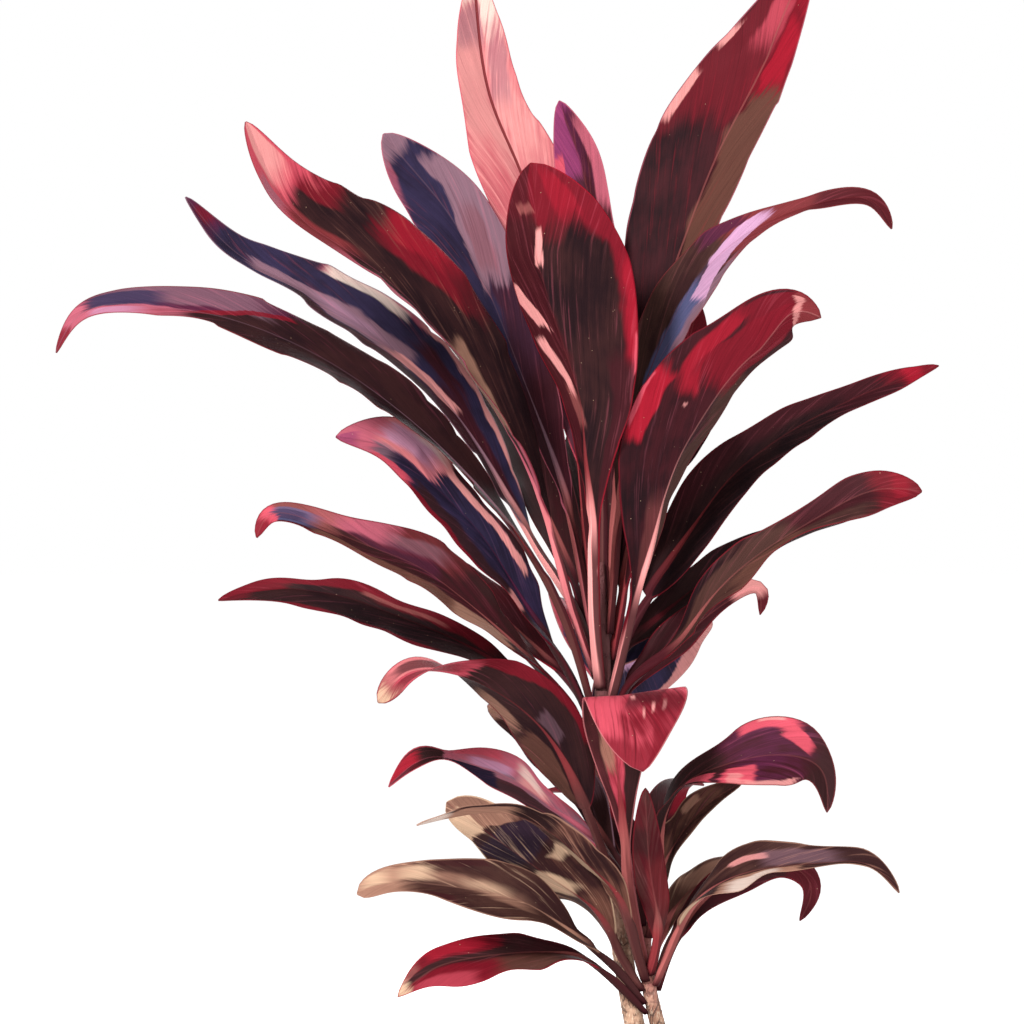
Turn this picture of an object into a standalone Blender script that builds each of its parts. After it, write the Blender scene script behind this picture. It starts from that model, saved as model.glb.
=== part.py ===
"""Ti plant: a bare cane with a head of long leaves, a side shoot of leaves, soil and a plain pot.

Lengths are in millimetres. A place is (x to the right, depth away from the viewer, height above
the pot's foot). Each leaf is one closed body, lofted along its midrib from its foot on the stem
to its tip: a channelled stalk first, then the blade.
"""
import math
from collections import namedtuple

import bpy
import numpy as np

MM = 0.001
GAP = 0.3

# Pot, a plain guess: the photograph ends above it
POT_HEIGHT = 240.0
POT_RADIUS = 130.0
POT_FOOT_RADIUS = 94.0
POT_WALL = 6.0
POT_FLOOR = 10.0
RIM_HEIGHT = 30.0
RIM_STEP = 5.0
SOIL_TOP = 214.0
SOIL_CROWN = 5.0
ROUND_SIDES = 32

# Stems: places along the middle of each, foot first, with the radius there
STEM_SIDES = 16
STEM_RINGS = 17
CANE_LINE = [(20, 0, 96), (8, 0, 214), (-8, 0, 314), (-18, 0, 374), (-25, 0, 424), (-34, 0, 464),
             (-40, 0, 524), (-40, 0, 584), (-37, 0, 624), (-38, 0, 700), (-40, 0, 762)]
CANE_RADII = [10, 10.5, 10.5, 10.5, 10, 10, 9.5, 9.5, 9, 7, 4.5]
SHOOT_LINE = [(36, -6, 110), (32, -6, 214), (20, -8, 290), (9, -10, 336), (5, -14, 380), (3, -16, 432)]
SHOOT_RADII = [7, 8, 8, 7.5, 6, 3.5]

# Leaf build
STALK_HALF = 5.6
STALK_THICK = 4.2
FOOT_HALF = 6.2
BLADE_THICK = 1.5
EDGE_THICK = 0.8
TIP_HALF = 0.7
BLUNTNESS = 0.66
ACROSS = np.array([-1.0, -0.55, 0.0, 0.55, 1.0])
HEAD_RING_SPACING = 46.0
SHOOT_RING_SPACING = 26.0

Leaf = namedtuple("Leaf", "name foot line width turn tone widest stalk gutter ripple",
                  defaults=(0.45, 0.22, 16.0, 3.0))

# The head's leaves: foot is the height on the cane, turn the blade's twist in degrees, evenly
# spread from foot to tip, positive where the upper face turns to the viewer
HEAD_LEAVES = [
    Leaf("head_leaf_tall_left", 716,
         [(-50, 24, 775), (-66, 76, 930), (-94, 104, 1075), (-122, 120, 1166), (-150, 134, 1235),
          (-163, 138, 1309), (-168, 134, 1372)], 90, (0, 0, 5), "pink", 0.5),
    Leaf("head_leaf_small_upper", 730,
         [(-38, 16, 790), (-38, 38, 940), (-42, 60, 1080), (-58, 76, 1165), (-80, 80, 1230)],
         76, (0, 10, 20), "pink", 0.55),
    Leaf("head_leaf_upper_right", 700,
         [(-27, 14, 760), (-13, 38, 898), (18, 62, 1038), (46, 82, 1130), (66, 92, 1181),
          (97, 104, 1239), (155, 118, 1340), (184, 124, 1388)], 94, (0, 10, 10), "maroon", 0.6),
    Leaf("head_leaf_arching_right", 690,
         [(-26, -6, 750), (-6, -14, 900), (28, -30, 995), (66, -48, 1054), (115, -62, 1088),
          (190, -78, 1122), (250, -88, 1096)], 68, (0, 65, 60, 10), "navy"),
    Leaf("head_leaf_front", 636,
         [(-46, -26, 702), (-47, -58, 800), (-48, -86, 870), (-47, -100, 918), (-60, -120, 984),
          (-76, -140, 1043), (-92, -154, 1092), (-110, -162, 1141)], 124, (0, 0, 0), "maroon",
         0.7, 0.28),
    Leaf("head_leaf_red_right", 620,
         [(-12, -22, 696), (2, -52, 774), (17, -78, 874), (57, -98, 944), (105, -112, 990),
          (150, -120, 1012), (174, -114, 1002)], 84, (0, -25, -35), "red", 0.6),
    Leaf("head_leaf_behind_red", 664,
         [(-18, 8, 722), (-6, 22, 800), (32, 40, 880), (72, 54, 935), (94, 60, 952)],
         62, (0, 15, 25), "red"),
    Leaf("head_leaf_long_right", 622,
         [(-20, 10, 664), (20, 28, 740), (62, 48, 795), (108, 68, 851), (173, 92, 898),
          (236, 112, 931), (310, 130, 962)], 80, (0, 40, 42), "maroon", 0.28),
    Leaf("head_leaf_low_right", 600,
         [(-14, -4, 636), (32, -38, 676), (68, -62, 725), (115, -82, 770), (178, -102, 810),
          (232, -116, 834), (272, -122, 832)], 62, (0, 60, 60), "maroon", 0.55),
    Leaf("head_leaf_curled_right", 585,
         [(-18, 12, 622), (24, 34, 668), (62, 50, 700), (100, 62, 726), (126, 66, 732),
          (132, 60, 712)], 46, (0, 40, 40), "red"),
    Leaf("head_leaf_upper_left", 650,
         [(-67, -12, 712), (-86, -34, 780), (-120, -64, 884), (-170, -92, 974), (-228, -118, 1046),
          (-295, -138, 1092), (-343, -150, 1124), (-386, -158, 1190)], 90, (0, 50, 60), "maroon",
         0.5),
    Leaf("head_leaf_navy_left", 682,
         [(-56, 12, 738), (-76, 24, 830), (-120, 40, 954), (-165, 50, 1064), (-200, 54, 1124),
          (-232, 54, 1162), (-258, 50, 1186)], 84, (0, 20, 30), "navy", 0.6),
    Leaf("head_leaf_narrow_left", 666,
         [(-62, 10, 708), (-98, 28, 768), (-142, 48, 850), (-204, 72, 944), (-270, 98, 1002),
          (-340, 120, 1044), (-415, 138, 1084), (-464, 144, 1136)], 58, (0, 30, 35), "navy"),
    Leaf("head_leaf_long_left", 612,
         [(-64, -14, 672), (-97, -34, 750), (-150, -62, 824), (-215, -92, 895), (-295, -120, 956),
          (-378, -142, 996), (-474, -158, 1013), (-545, -164, 1006), (-570, -162, 972)],
         58, (0, 55, 62), "maroon"),
    Leaf("head_leaf_mid_left", 601,
         [(-68, 0, 645), (-112, -12, 714), (-155, -30, 784), (-210, -48, 842), (-255, -60, 876),
          (-302, -66, 886)], 72, (0, 50, 55), "navy"),
    Leaf("head_leaf_low_left", 574,
         [(-66, -12, 612), (-110, -40, 666), (-160, -68, 718), (-220, -98, 764), (-290, -124, 794),
          (-345, -138, 800), (-376, -142, 788)], 56, (0, 55, 60), "maroon"),
    Leaf("head_leaf_lowest_left", 560,
         [(-66, 8, 596), (-110, 24, 636), (-165, 42, 669), (-230, 60, 698), (-300, 76, 722),
          (-370, 86, 732), (-427, 90, 722)], 52, (0, 40, 45), "red"),
    Leaf("head_leaf_back_drooping", 592,
         [(-40, 26, 628), (-28, 60, 668), (-22, 110, 694), (-18, 170, 692), (-12, 230, 656),
          (-6, 280, 600)], 106, (0, 0, 0), "navy", 0.5),
    Leaf("head_leaf_back_left", 645,
         [(-54, 22, 700), (-84, 76, 790), (-118, 130, 880), (-156, 180, 970), (-192, 220, 1050)],
         80, (0, 0, 0), "maroon"),
    Leaf("head_leaf_back_right", 658,
         [(-33, 30, 714), (-14, 80, 800), (18, 128, 890), (50, 176, 970), (66, 214, 1030)],
         76, (0, 0, 0), "maroon"),
    Leaf("head_leaf_back_low_left", 582,
         [(-56, 20, 618), (-90, 56, 660), (-140, 104, 708), (-215, 156, 758), (-292, 196, 782)],
         70, (0, 0, 0), "red"),
    Leaf("head_leaf_back_low_right", 608,
         [(-31, 25, 648), (20, 68, 704), (80, 114, 750), (150, 156, 785), (222, 190, 804)],
         66, (0, 0, 0), "red"),
    Leaf("head_leaf_back_middle", 634,
         [(-42, 32, 688), (-41, 110, 780), (-36, 190, 860), (-32, 260, 910), (-28, 320, 920)],
         86, (0, 0, 0), "maroon"),
]

SHOOT_LEAVES = [
    Leaf("shoot_leaf_red_left", 312,
         [(-24, -27, 344), (-60, -44, 369), (-110, -66, 375), (-160, -84, 371), (-205, -96, 361),
          (-240, -104, 337)], 56, (0, 50, 55), "red", 0.55),
    Leaf("shoot_leaf_bronze_left", 322,
         [(-24, -32, 358), (-66, -74, 393), (-110, -106, 420), (-160, -132, 436), (-210, -148, 446),
          (-250, -156, 449), (-278, -160, 442)], 72, (0, 60, 75), "bronze", 0.5),
    Leaf("shoot_leaf_tan_left", 335,
         [(-22, -30, 374), (-46, -54, 418), (-86, -74, 450), (-130, -90, 482), (-165, -100, 508),
          (-192, -104, 528)], 72, (0, -40, -45), "bronze", 0.5),
    Leaf("shoot_leaf_narrow_left", 345,
         [(-6, -48, 382), (-28, -92, 441), (-60, -122, 475), (-95, -144, 505), (-135, -160, 521),
          (-180, -172, 519), (-220, -178, 510)], 44, (0, 15, 15), "bronze"),
    Leaf("shoot_leaf_twisted_left", 414,
         [(-15, -14, 442), (-46, -20, 484), (-87, -24, 516), (-125, -32, 544), (-170, -44, 562),
          (-212, -54, 568), (-250, -56, 540)], 48, (0, 45, 20), "pink"),
    Leaf("shoot_leaf_mauve_left", 400,
         [(-3, -30, 434), (-30, -42, 478), (-60, -54, 528), (-97, -66, 572), (-124, -74, 602),
          (-152, -80, 622)], 50, (0, 0, 0), "bronze", 0.45, 0.3),
    Leaf("shoot_leaf_curled_left", 384,
         [(-16, -34, 416), (-38, -62, 474), (-62, -94, 536), (-98, -122, 600), (-140, -140, 636),
          (-182, -152, 655), (-228, -152, 655), (-258, -146, 627)], 74,
         (0, -20, -40, -45, -45, -25, 20, 70), "maroon", 0.42, 0.36),
    Leaf("shoot_leaf_folded_pink", 361,
         [(-6, -44, 403), (-14, -72, 458), (-16, -96, 520), (-15, -114, 574), (-12, -130, 604),
          (-8, -156, 616), (-4, -180, 598), (-2, -190, 556)], 106, (0, 0, -15, -36, -38), "pink",
         0.68, 0.33, 3.0),
    Leaf("shoot_leaf_upright_red", 351,
         [(17, -50, 396), (9, -94, 450), (6, -116, 490), (8, -132, 528)], 36, (0, 0, 0), "red",
         0.45, 0.2, 45.0),
    Leaf("shoot_leaf_arched_right", 388,
         [(16, -30, 428), (20, -50, 476), (25, -68, 520), (46, -86, 548), (76, -98, 562),
          (125, -112, 574), (168, -122, 560), (190, -126, 518)], 64, (0, 40, 80, 80), "pink", 0.6),
    Leaf("shoot_leaf_brown_right", 398,
         [(14, -8, 428), (22, -18, 456), (38, -32, 488), (66, -44, 522), (100, -54, 544)],
         44, (0, 20, 20), "bronze"),
    Leaf("shoot_leaf_low_right", 340,
         [(28, -28, 374), (46, -48, 414), (82, -72, 448), (130, -92, 463), (176, -106, 468),
          (222, -114, 466), (250, -118, 440)], 56, (0, 55, 60), "maroon", 0.3),
    Leaf("shoot_leaf_curled_right", 334,
         [(26, 4, 364), (62, 20, 419), (105, 34, 446), (148, 44, 456), (172, 44, 438),
          (162, 40, 400)], 36, (0, 40, 40), "red"),
    Leaf("shoot_leaf_back_right", 326,
         [(14, 18, 356), (30, 50, 400), (60, 90, 432), (110, 130, 450), (160, 160, 440)],
         52, (0, 0, 0), "bronze"),
    Leaf("shoot_leaf_back_left", 358,
         [(0, 26, 395), (-10, 60, 440), (-30, 110, 490), (-60, 160, 520), (-100, 200, 520)],
         56, (0, 0, 0), "maroon"),
    Leaf("shoot_leaf_back_middle", 372,
         [(10, 16, 410), (16, 44, 460), (28, 80, 505), (44, 120, 530), (70, 160, 530)],
         54, (0, 0, 0), "maroon"),
]

# Colours, linear, with roughness
TONES = {
    "maroon": ((0.075, 0.016, 0.022), 0.42),
    "red": ((0.20, 0.018, 0.026), 0.40),
    "pink": ((0.48, 0.13, 0.13), 0.42),
    "navy": ((0.055, 0.035, 0.07), 0.40),
    "bronze": ((0.22, 0.10, 0.07), 0.50),
    "bark": ((0.42, 0.26, 0.15), 0.85),
    "soil": ((0.045, 0.028, 0.018), 0.95),
    "pot": ((0.62, 0.59, 0.55), 0.60),
}


def unit(vector):
    return vector / np.linalg.norm(vector)


def curve_through(points, count):
    """Points evenly spaced along a natural cubic curve through the given ones."""
    points = np.asarray(points, float)
    knots = np.concatenate([[0.0], np.cumsum(np.linalg.norm(np.diff(points, axis=0), axis=1))])
    gaps = np.diff(knots)
    slopes = np.diff(points, axis=0) / gaps[:, None]
    system = np.eye(len(knots))
    right = np.zeros_like(points)
    for i in range(1, len(knots) - 1):
        system[i, i - 1:i + 2] = gaps[i - 1], 2 * (gaps[i - 1] + gaps[i]), gaps[i]
        right[i] = 6 * (slopes[i] - slopes[i - 1])
    bends = np.linalg.solve(system, right)
    places = np.linspace(0.0, knots[-1], count)
    span = np.clip(np.searchsorted(knots, places, side="right") - 1, 0, len(gaps) - 1)
    gap = gaps[span][:, None]
    before = (places - knots[span])[:, None]
    after = gap - before
    return (bends[span] * after ** 3 / (6 * gap) + bends[span + 1] * before ** 3 / (6 * gap)
            + (points[span] / gap - bends[span] * gap / 6) * after
            + (points[span + 1] / gap - bends[span + 1] * gap / 6) * before)


def carried_frames(path, first_face):
    """Tangent and face direction at each point, the face carried along without twisting."""
    tangents = np.gradient(path, axis=0)
    tangents /= np.linalg.norm(tangents, axis=1)[:, None]
    faces = []
    face = np.asarray(first_face, float)
    for tangent in tangents:
        face = unit(face - tangent * (face @ tangent))
        faces.append(face)
    return tangents, np.array(faces)


def loft(rings):
    """Closed body from rings of points, with flat ends.

    The second half of a ring is a blade's lower face, where quads are split the other way round, so
    that both faces are split alike.
    """
    sides = len(rings[0])
    verts = [point for ring in rings for point in ring]
    faces = []
    for r in range(len(rings) - 1):
        for s in range(sides):
            a = r * sides + s
            b = r * sides + (s + 1) % sides
            if s < sides // 2:
                faces += [(a, b, b + sides), (a, b + sides, a + sides)]
            else:
                faces += [(a, b, a + sides), (b, b + sides, a + sides)]
    last = (len(rings) - 1) * sides
    faces += [tuple(reversed(range(sides))), tuple(range(last, last + sides))]
    return verts, faces


def place_on(line, radii, height):
    """The stem's middle and radius at a height."""
    path = curve_through(line, STEM_RINGS)
    middle = [np.interp(height, path[:, 2], path[:, axis]) for axis in (0, 1)]
    radius = np.interp(height, [point[2] for point in line], radii)
    return np.array([middle[0], middle[1], height]), radius


def leaf_path(leaf, stem_line, stem_radii, spacing):
    """Midrib points from the foot beside the stem to the tip, and the inward direction there."""
    middle, radius = place_on(stem_line, stem_radii, leaf.foot)
    outward = np.array(leaf.line[0], float) - middle
    outward[2] = 0.0
    outward = unit(outward)
    foot = middle + outward * (radius + GAP + STALK_THICK / 2)
    points = [foot] + [np.array(point, float) for point in leaf.line]
    length = sum(np.linalg.norm(b - a) for a, b in zip(points, points[1:]))
    count = int(length / spacing) + 3
    return curve_through(points, count), -outward


def seat_foot(ring, inward, stem_line, stem_radii):
    """The foot's ring, slid inward to stand a small gap from the stem."""
    room = []
    for point in ring:
        middle, radius = place_on(stem_line, stem_radii, point[2])
        room.append(math.hypot(*(point - middle)[:2]) - radius)
    return [point + inward * (min(room) - GAP) for point in ring]


def half_width(leaf, along):
    """Half the width: a narrow stalk, then a blade that swells and tapers to the tip."""
    stalk = FOOT_HALF + (STALK_HALF - FOOT_HALF) * min(along / leaf.stalk, 1.0)
    stalk *= 1.0 - along ** 3
    on_blade = max((along - leaf.stalk) / (1.0 - leaf.stalk), 0.0)
    power = math.log(0.5) / math.log(leaf.widest)
    swell = max(math.sin(math.pi * min(on_blade, 1.0) ** power), 0.0) ** BLUNTNESS
    return math.hypot(stalk, leaf.width / 2 * swell) + TIP_HALF * along


def leaf_rings(leaf, stem_line, stem_radii, spacing):
    path, inward = leaf_path(leaf, stem_line, stem_radii, spacing)
    tangents, faces = carried_frames(path, inward)
    steps = np.linspace(0.0, 1.0, len(path))
    toward = 1.0 if leaf.line[-1][0] > path[0][0] else -1.0
    rings = []
    for along, centre, tangent, face in zip(steps, path, tangents, faces):
        turn = toward * math.radians(np.interp(along, np.linspace(0, 1, len(leaf.turn)), leaf.turn))
        face = face * math.cos(turn) + np.cross(tangent, face) * math.sin(turn)
        side = np.cross(tangent, face)
        blade = min(along / leaf.stalk, 1.0) ** 2
        half = half_width(leaf, along)
        middle_thick = STALK_THICK + (BLADE_THICK - STALK_THICK) * blade
        edge_thick = 2.0 + (EDGE_THICK - 2.0) * blade
        lift = half * math.sin(math.radians(leaf.gutter)) * (0.35 + 0.65 * blade)
        wave = [leaf.ripple * blade * (1 - along) * math.sin(14 * along + shift) for shift in (0, 2)]
        upper = []
        lower = []
        for v in ACROSS:
            thick = middle_thick + (edge_thick - middle_thick) * abs(v)
            rise = lift * abs(v) + wave[int(v > 0)] * v * v
            spot = centre + side * (v * half) + face * rise
            upper.append(spot + face * (thick / 2))
            lower.append(spot - face * (thick / 2))
        rings.append(upper + lower[::-1])
    rings[0] = seat_foot(rings[0], inward, stem_line, stem_radii)
    return rings


def tube_rings(line, radii, grow=0.0):
    path = curve_through(line, STEM_RINGS)
    tangents, faces = carried_frames(path, (1, 0, 0))
    heights = [point[2] for point in line]
    rings = []
    for centre, tangent, face in zip(path, tangents, faces):
        radius = np.interp(centre[2], heights, radii) + grow
        side = np.cross(tangent, face)
        angles = [2 * math.pi * k / STEM_SIDES for k in range(STEM_SIDES)]
        rings.append([centre + radius * (face * math.cos(a) + side * math.sin(a)) for a in angles])
    return rings


def turned_rings(profile, sides=ROUND_SIDES):
    """Rings of a round body from (radius, height) steps."""
    return [[np.array([radius * math.cos(2 * math.pi * k / sides),
                       radius * math.sin(2 * math.pi * k / sides), height])
             for k in range(sides)] for radius, height in profile]


def pot_radius(height):
    body = POT_HEIGHT - RIM_HEIGHT
    return POT_FOOT_RADIUS + (POT_RADIUS - RIM_STEP - POT_FOOT_RADIUS) * height / body


def pot_rings():
    under_rim = POT_HEIGHT - RIM_HEIGHT
    inside_foot = pot_radius(POT_FLOOR) - POT_WALL
    inside_top = POT_RADIUS - RIM_STEP - POT_WALL
    return turned_rings([
        (POT_FOOT_RADIUS - 3, 0), (POT_FOOT_RADIUS, 3), (pot_radius(under_rim), under_rim),
        (POT_RADIUS, under_rim + 2), (POT_RADIUS, POT_HEIGHT - 2), (POT_RADIUS - 2, POT_HEIGHT),
        (inside_top + 4, POT_HEIGHT), (inside_top + 1, POT_HEIGHT - 4), (inside_top, under_rim),
        (inside_foot, POT_FLOOR)])


def soil_rings():
    inside_foot = pot_radius(POT_FLOOR) - POT_WALL - 1.5 * GAP
    inside_top = POT_RADIUS - RIM_STEP - POT_WALL - 1.5 * GAP
    return turned_rings([(inside_foot, POT_FLOOR + GAP), (inside_top, POT_HEIGHT - RIM_HEIGHT),
                         (inside_top, SOIL_TOP - 1), (inside_top * 0.8, SOIL_TOP + 1),
                         (inside_top * 0.4, SOIL_TOP + SOIL_CROWN)])


def make_material(name, tone):
    colour, roughness = TONES[tone]
    material = bpy.data.materials.new(name)
    material.use_nodes = True
    shader = material.node_tree.nodes["Principled BSDF"]
    shader.inputs["Base Color"].default_value = (*colour, 1.0)
    shader.inputs["Roughness"].default_value = roughness
    shader.inputs["Metallic"].default_value = 0.0
    return material


def add_solid(name, rings, tone):
    verts, faces = loft(rings)
    mesh = bpy.data.meshes.new(name)
    mesh.from_pydata([tuple(point * MM) for point in verts], [], faces)
    mesh.update()
    solid = bpy.data.objects.new(name, mesh)
    bpy.context.collection.objects.link(solid)
    if tone:
        mesh.materials.append(make_material(name, tone))
    return solid


def cut_hole(soil, name, line, radii):
    """A plain hole in the soil, as wide as the stem that stands in it and a small gap."""
    rings = [ring for ring in tube_rings(line, radii, GAP + 0.1) if ring[0][2] < SOIL_TOP + 60]
    low = np.array([0.0, 0.0, GAP])
    rings[0] = [point - low for point in rings[0]]
    cutter = add_solid(name, rings, None)
    cutter.hide_render = True
    cutter.display_type = "WIRE"
    cut = soil.modifiers.new(name, "BOOLEAN")
    cut.operation = "DIFFERENCE"
    cut.solver = "EXACT"
    cut.object = cutter


def clear_scene():
    for thing in list(bpy.data.objects):
        bpy.data.objects.remove(thing, do_unlink=True)


def main():
    clear_scene()
    add_solid("pot", pot_rings(), "pot")
    soil = add_solid("soil", soil_rings(), "soil")
    add_solid("cane", tube_rings(CANE_LINE, CANE_RADII), "bark")
    add_solid("side_shoot_stem", tube_rings(SHOOT_LINE, SHOOT_RADII), "bark")
    cut_hole(soil, "cane_hole", CANE_LINE, CANE_RADII)
    cut_hole(soil, "side_shoot_hole", SHOOT_LINE, SHOOT_RADII)
    for leaf in HEAD_LEAVES:
        add_solid(leaf.name, leaf_rings(leaf, CANE_LINE, CANE_RADII, HEAD_RING_SPACING), leaf.tone)
    for leaf in SHOOT_LEAVES:
        add_solid(leaf.name, leaf_rings(leaf, SHOOT_LINE, SHOOT_RADII, SHOOT_RING_SPACING), leaf.tone)


main()
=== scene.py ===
# %% [markdown]
# A potted ti plant: a bare tan cane with a head of long arching leaves, a side shoot of smaller
# ones, soil and a plain pot. The CAD part already holds every leaf as a plain solid in its right
# place. This lesson grows a finer leaf, bark and soil over each of those solids and gives them
# their colours.

# %% Start from the fixed frame
import math
from collections import namedtuple

import bmesh
import bpy
import numpy as np
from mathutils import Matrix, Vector


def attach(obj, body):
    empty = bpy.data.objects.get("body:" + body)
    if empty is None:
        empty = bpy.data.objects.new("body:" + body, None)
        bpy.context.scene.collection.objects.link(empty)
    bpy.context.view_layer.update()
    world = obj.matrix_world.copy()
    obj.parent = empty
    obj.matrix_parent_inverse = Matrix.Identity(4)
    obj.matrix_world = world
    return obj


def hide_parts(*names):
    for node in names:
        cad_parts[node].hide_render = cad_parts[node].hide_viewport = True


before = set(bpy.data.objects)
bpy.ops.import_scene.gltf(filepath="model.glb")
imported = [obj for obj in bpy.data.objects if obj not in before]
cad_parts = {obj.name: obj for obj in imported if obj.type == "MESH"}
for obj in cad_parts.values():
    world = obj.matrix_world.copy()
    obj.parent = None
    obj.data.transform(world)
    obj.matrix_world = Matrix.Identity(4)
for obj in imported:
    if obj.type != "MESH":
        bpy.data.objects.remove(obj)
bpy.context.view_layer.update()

MM = 0.001

# %% [markdown]
# The camera stands where the photographer stood: level, a few metres off, a little below the
# middle of the head. One photo pixel is one millimetre at the cane, so the lens is chosen to make
# the picture 1.024 m wide there. The pot stays just under the picture's lower edge.

# %% Camera at the photo's place
CAMERA_AWAY = 5.0
PICTURE_WIDTH = 1.024
PICTURE_MIDDLE = (-0.128, 0.812)


def add_camera():
    data = bpy.data.cameras.new("camera")
    data.sensor_width = 36.0
    data.lens = data.sensor_width * CAMERA_AWAY / PICTURE_WIDTH
    camera = bpy.data.objects.new("camera", data)
    camera.location = (PICTURE_MIDDLE[0], -CAMERA_AWAY, PICTURE_MIDDLE[1])
    camera.rotation_euler = (math.pi / 2, 0, 0)
    bpy.context.collection.objects.link(camera)
    bpy.context.scene.camera = camera
    print("lens", round(data.lens, 1), "mm")


add_camera()

# %% [markdown]
# Node trees are easier to read as sums than as wires. A `Wire` stands for one output socket, and
# ordinary arithmetic on it adds the Math or Vector Math nodes that do the sum. Every other node
# comes from `Bench.add`, which sets the node's own settings first and its sockets after them.
# The same two classes serve the leaf's shape in Geometry Nodes and its colours in the shader.

# %% A wire that can be added up, and a bench that adds nodes


class Wire:
    def __init__(self, bench, socket):
        self.bench = bench
        self.socket = socket

    def is_vector(self):
        return self.socket.type in ("VECTOR", "RGBA")

    def sum(self, operation, *others, clamp=False):
        kind = "ShaderNodeMath"
        settings = {"operation": operation}
        if self.is_vector() or any(isinstance(o, Wire) and o.is_vector() for o in others):
            kind = "ShaderNodeVectorMath"
            others = [(o, o, o) if isinstance(o, (int, float)) else o for o in others]
        elif clamp:
            settings["use_clamp"] = True
        return self.bench.add(kind, settings, dict(enumerate([self, *others])))

    def __add__(self, other):
        return self.sum("ADD", other)

    __radd__ = __add__

    def __sub__(self, other):
        return self.sum("SUBTRACT", other)

    def __rsub__(self, other):
        return self.bench.value(other).sum("SUBTRACT", self)

    def __mul__(self, other):
        by_number = isinstance(other, (int, float)) or isinstance(other, Wire) and not other.is_vector()
        if self.is_vector() and by_number:
            return self.bench.add("ShaderNodeVectorMath", {"operation": "SCALE"},
                                  {0: self, "Scale": other})
        if isinstance(other, Wire) and other.is_vector() and not self.is_vector():
            return other * self
        return self.sum("MULTIPLY", other)

    __rmul__ = __mul__

    def __truediv__(self, other):
        return self.sum("DIVIDE", other)

    def __pow__(self, other):
        return self.sum("POWER", other)

    def __abs__(self):
        return self.sum("ABSOLUTE")

    def clamp(self):
        return self.sum("ADD", 0.0, clamp=True)

    def part(self, axis):
        return self.bench.add("ShaderNodeSeparateXYZ", {}, {0: self}, out=axis)

    def rises(self, low, high):
        """0 below low, 1 above high, smooth between."""
        return self.bench.add("ShaderNodeMapRange", {"interpolation_type": "SMOOTHSTEP"},
                              {"Value": self, "From Min": low, "From Max": high})

    def falls(self, low, high):
        return self.bench.add("ShaderNodeMapRange", {"interpolation_type": "SMOOTHSTEP"},
                              {"Value": self, "From Min": low, "From Max": high,
                               "To Min": 1.0, "To Max": 0.0})


class Bench:
    def __init__(self, tree):
        self.tree = tree

    def add(self, kind, settings, sockets, out=0):
        """One node: its settings first, then values or wires for its sockets, by name or number."""
        node = self.tree.nodes.new(kind)
        for key, value in settings.items():
            setattr(node, key, value)
        for key, value in sockets.items():
            if isinstance(value, Wire):
                self.tree.links.new(value.socket, node.inputs[key])
            else:
                node.inputs[key].default_value = value
        return Wire(self, node.outputs[out])

    def value(self, number):
        """A number as a wire, for sums that start with a plain number."""
        return self.add("ShaderNodeMath", {"operation": "ADD"}, {0: number, 1: 0.0})

    def vector(self, x, y, z=0.0):
        return self.add("ShaderNodeCombineXYZ", {}, {0: x, 1: y, 2: z})

    def blend(self, mask, under, over, how="MIX"):
        """Two colours or wires of colour, mixed by a mask."""
        settings = {"data_type": "RGBA", "blend_type": how, "clamp_factor": True}
        return self.add("ShaderNodeMix", settings, {0: mask, 6: under, 7: over}, out=2)

    def noise(self, place, scale, detail=2.0, rough=0.5, out="Fac"):
        return self.add("ShaderNodeTexNoise", {},
                        {"Vector": place, "Scale": scale, "Detail": detail, "Roughness": rough}, out)


print("bench ready")

# %% [markdown]
# Each leaf keeps the numbers of its CAD solid: the height of its foot on the stem, the places
# that its midrib passes, its width, and how far it turns about the midrib. Lengths are in
# millimetres, and a place is (x, depth away from the viewer, height).

# %% The stems and the leaves, by their own numbers
CANE_LINE = [(20, 0, 96), (8, 0, 214), (-8, 0, 314), (-18, 0, 374), (-25, 0, 424), (-34, 0, 464),
             (-40, 0, 524), (-40, 0, 584), (-37, 0, 624), (-38, 0, 700), (-40, 0, 762)]
CANE_RADII = [10, 10.5, 10.5, 10.5, 10, 10, 9.5, 9.5, 9, 7, 4.5]
SHOOT_LINE = [(36, -6, 110), (32, -6, 214), (20, -8, 290), (9, -10, 336), (5, -14, 380), (3, -16, 432)]
SHOOT_RADII = [7, 8, 8, 7.5, 6, 3.5]

Leaf = namedtuple("Leaf", "stem name foot line width turn tone widest stalk gutter ripple frill",
                  defaults=(0.45, 0.22, 16.0, 3.0, 2.5))

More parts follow.
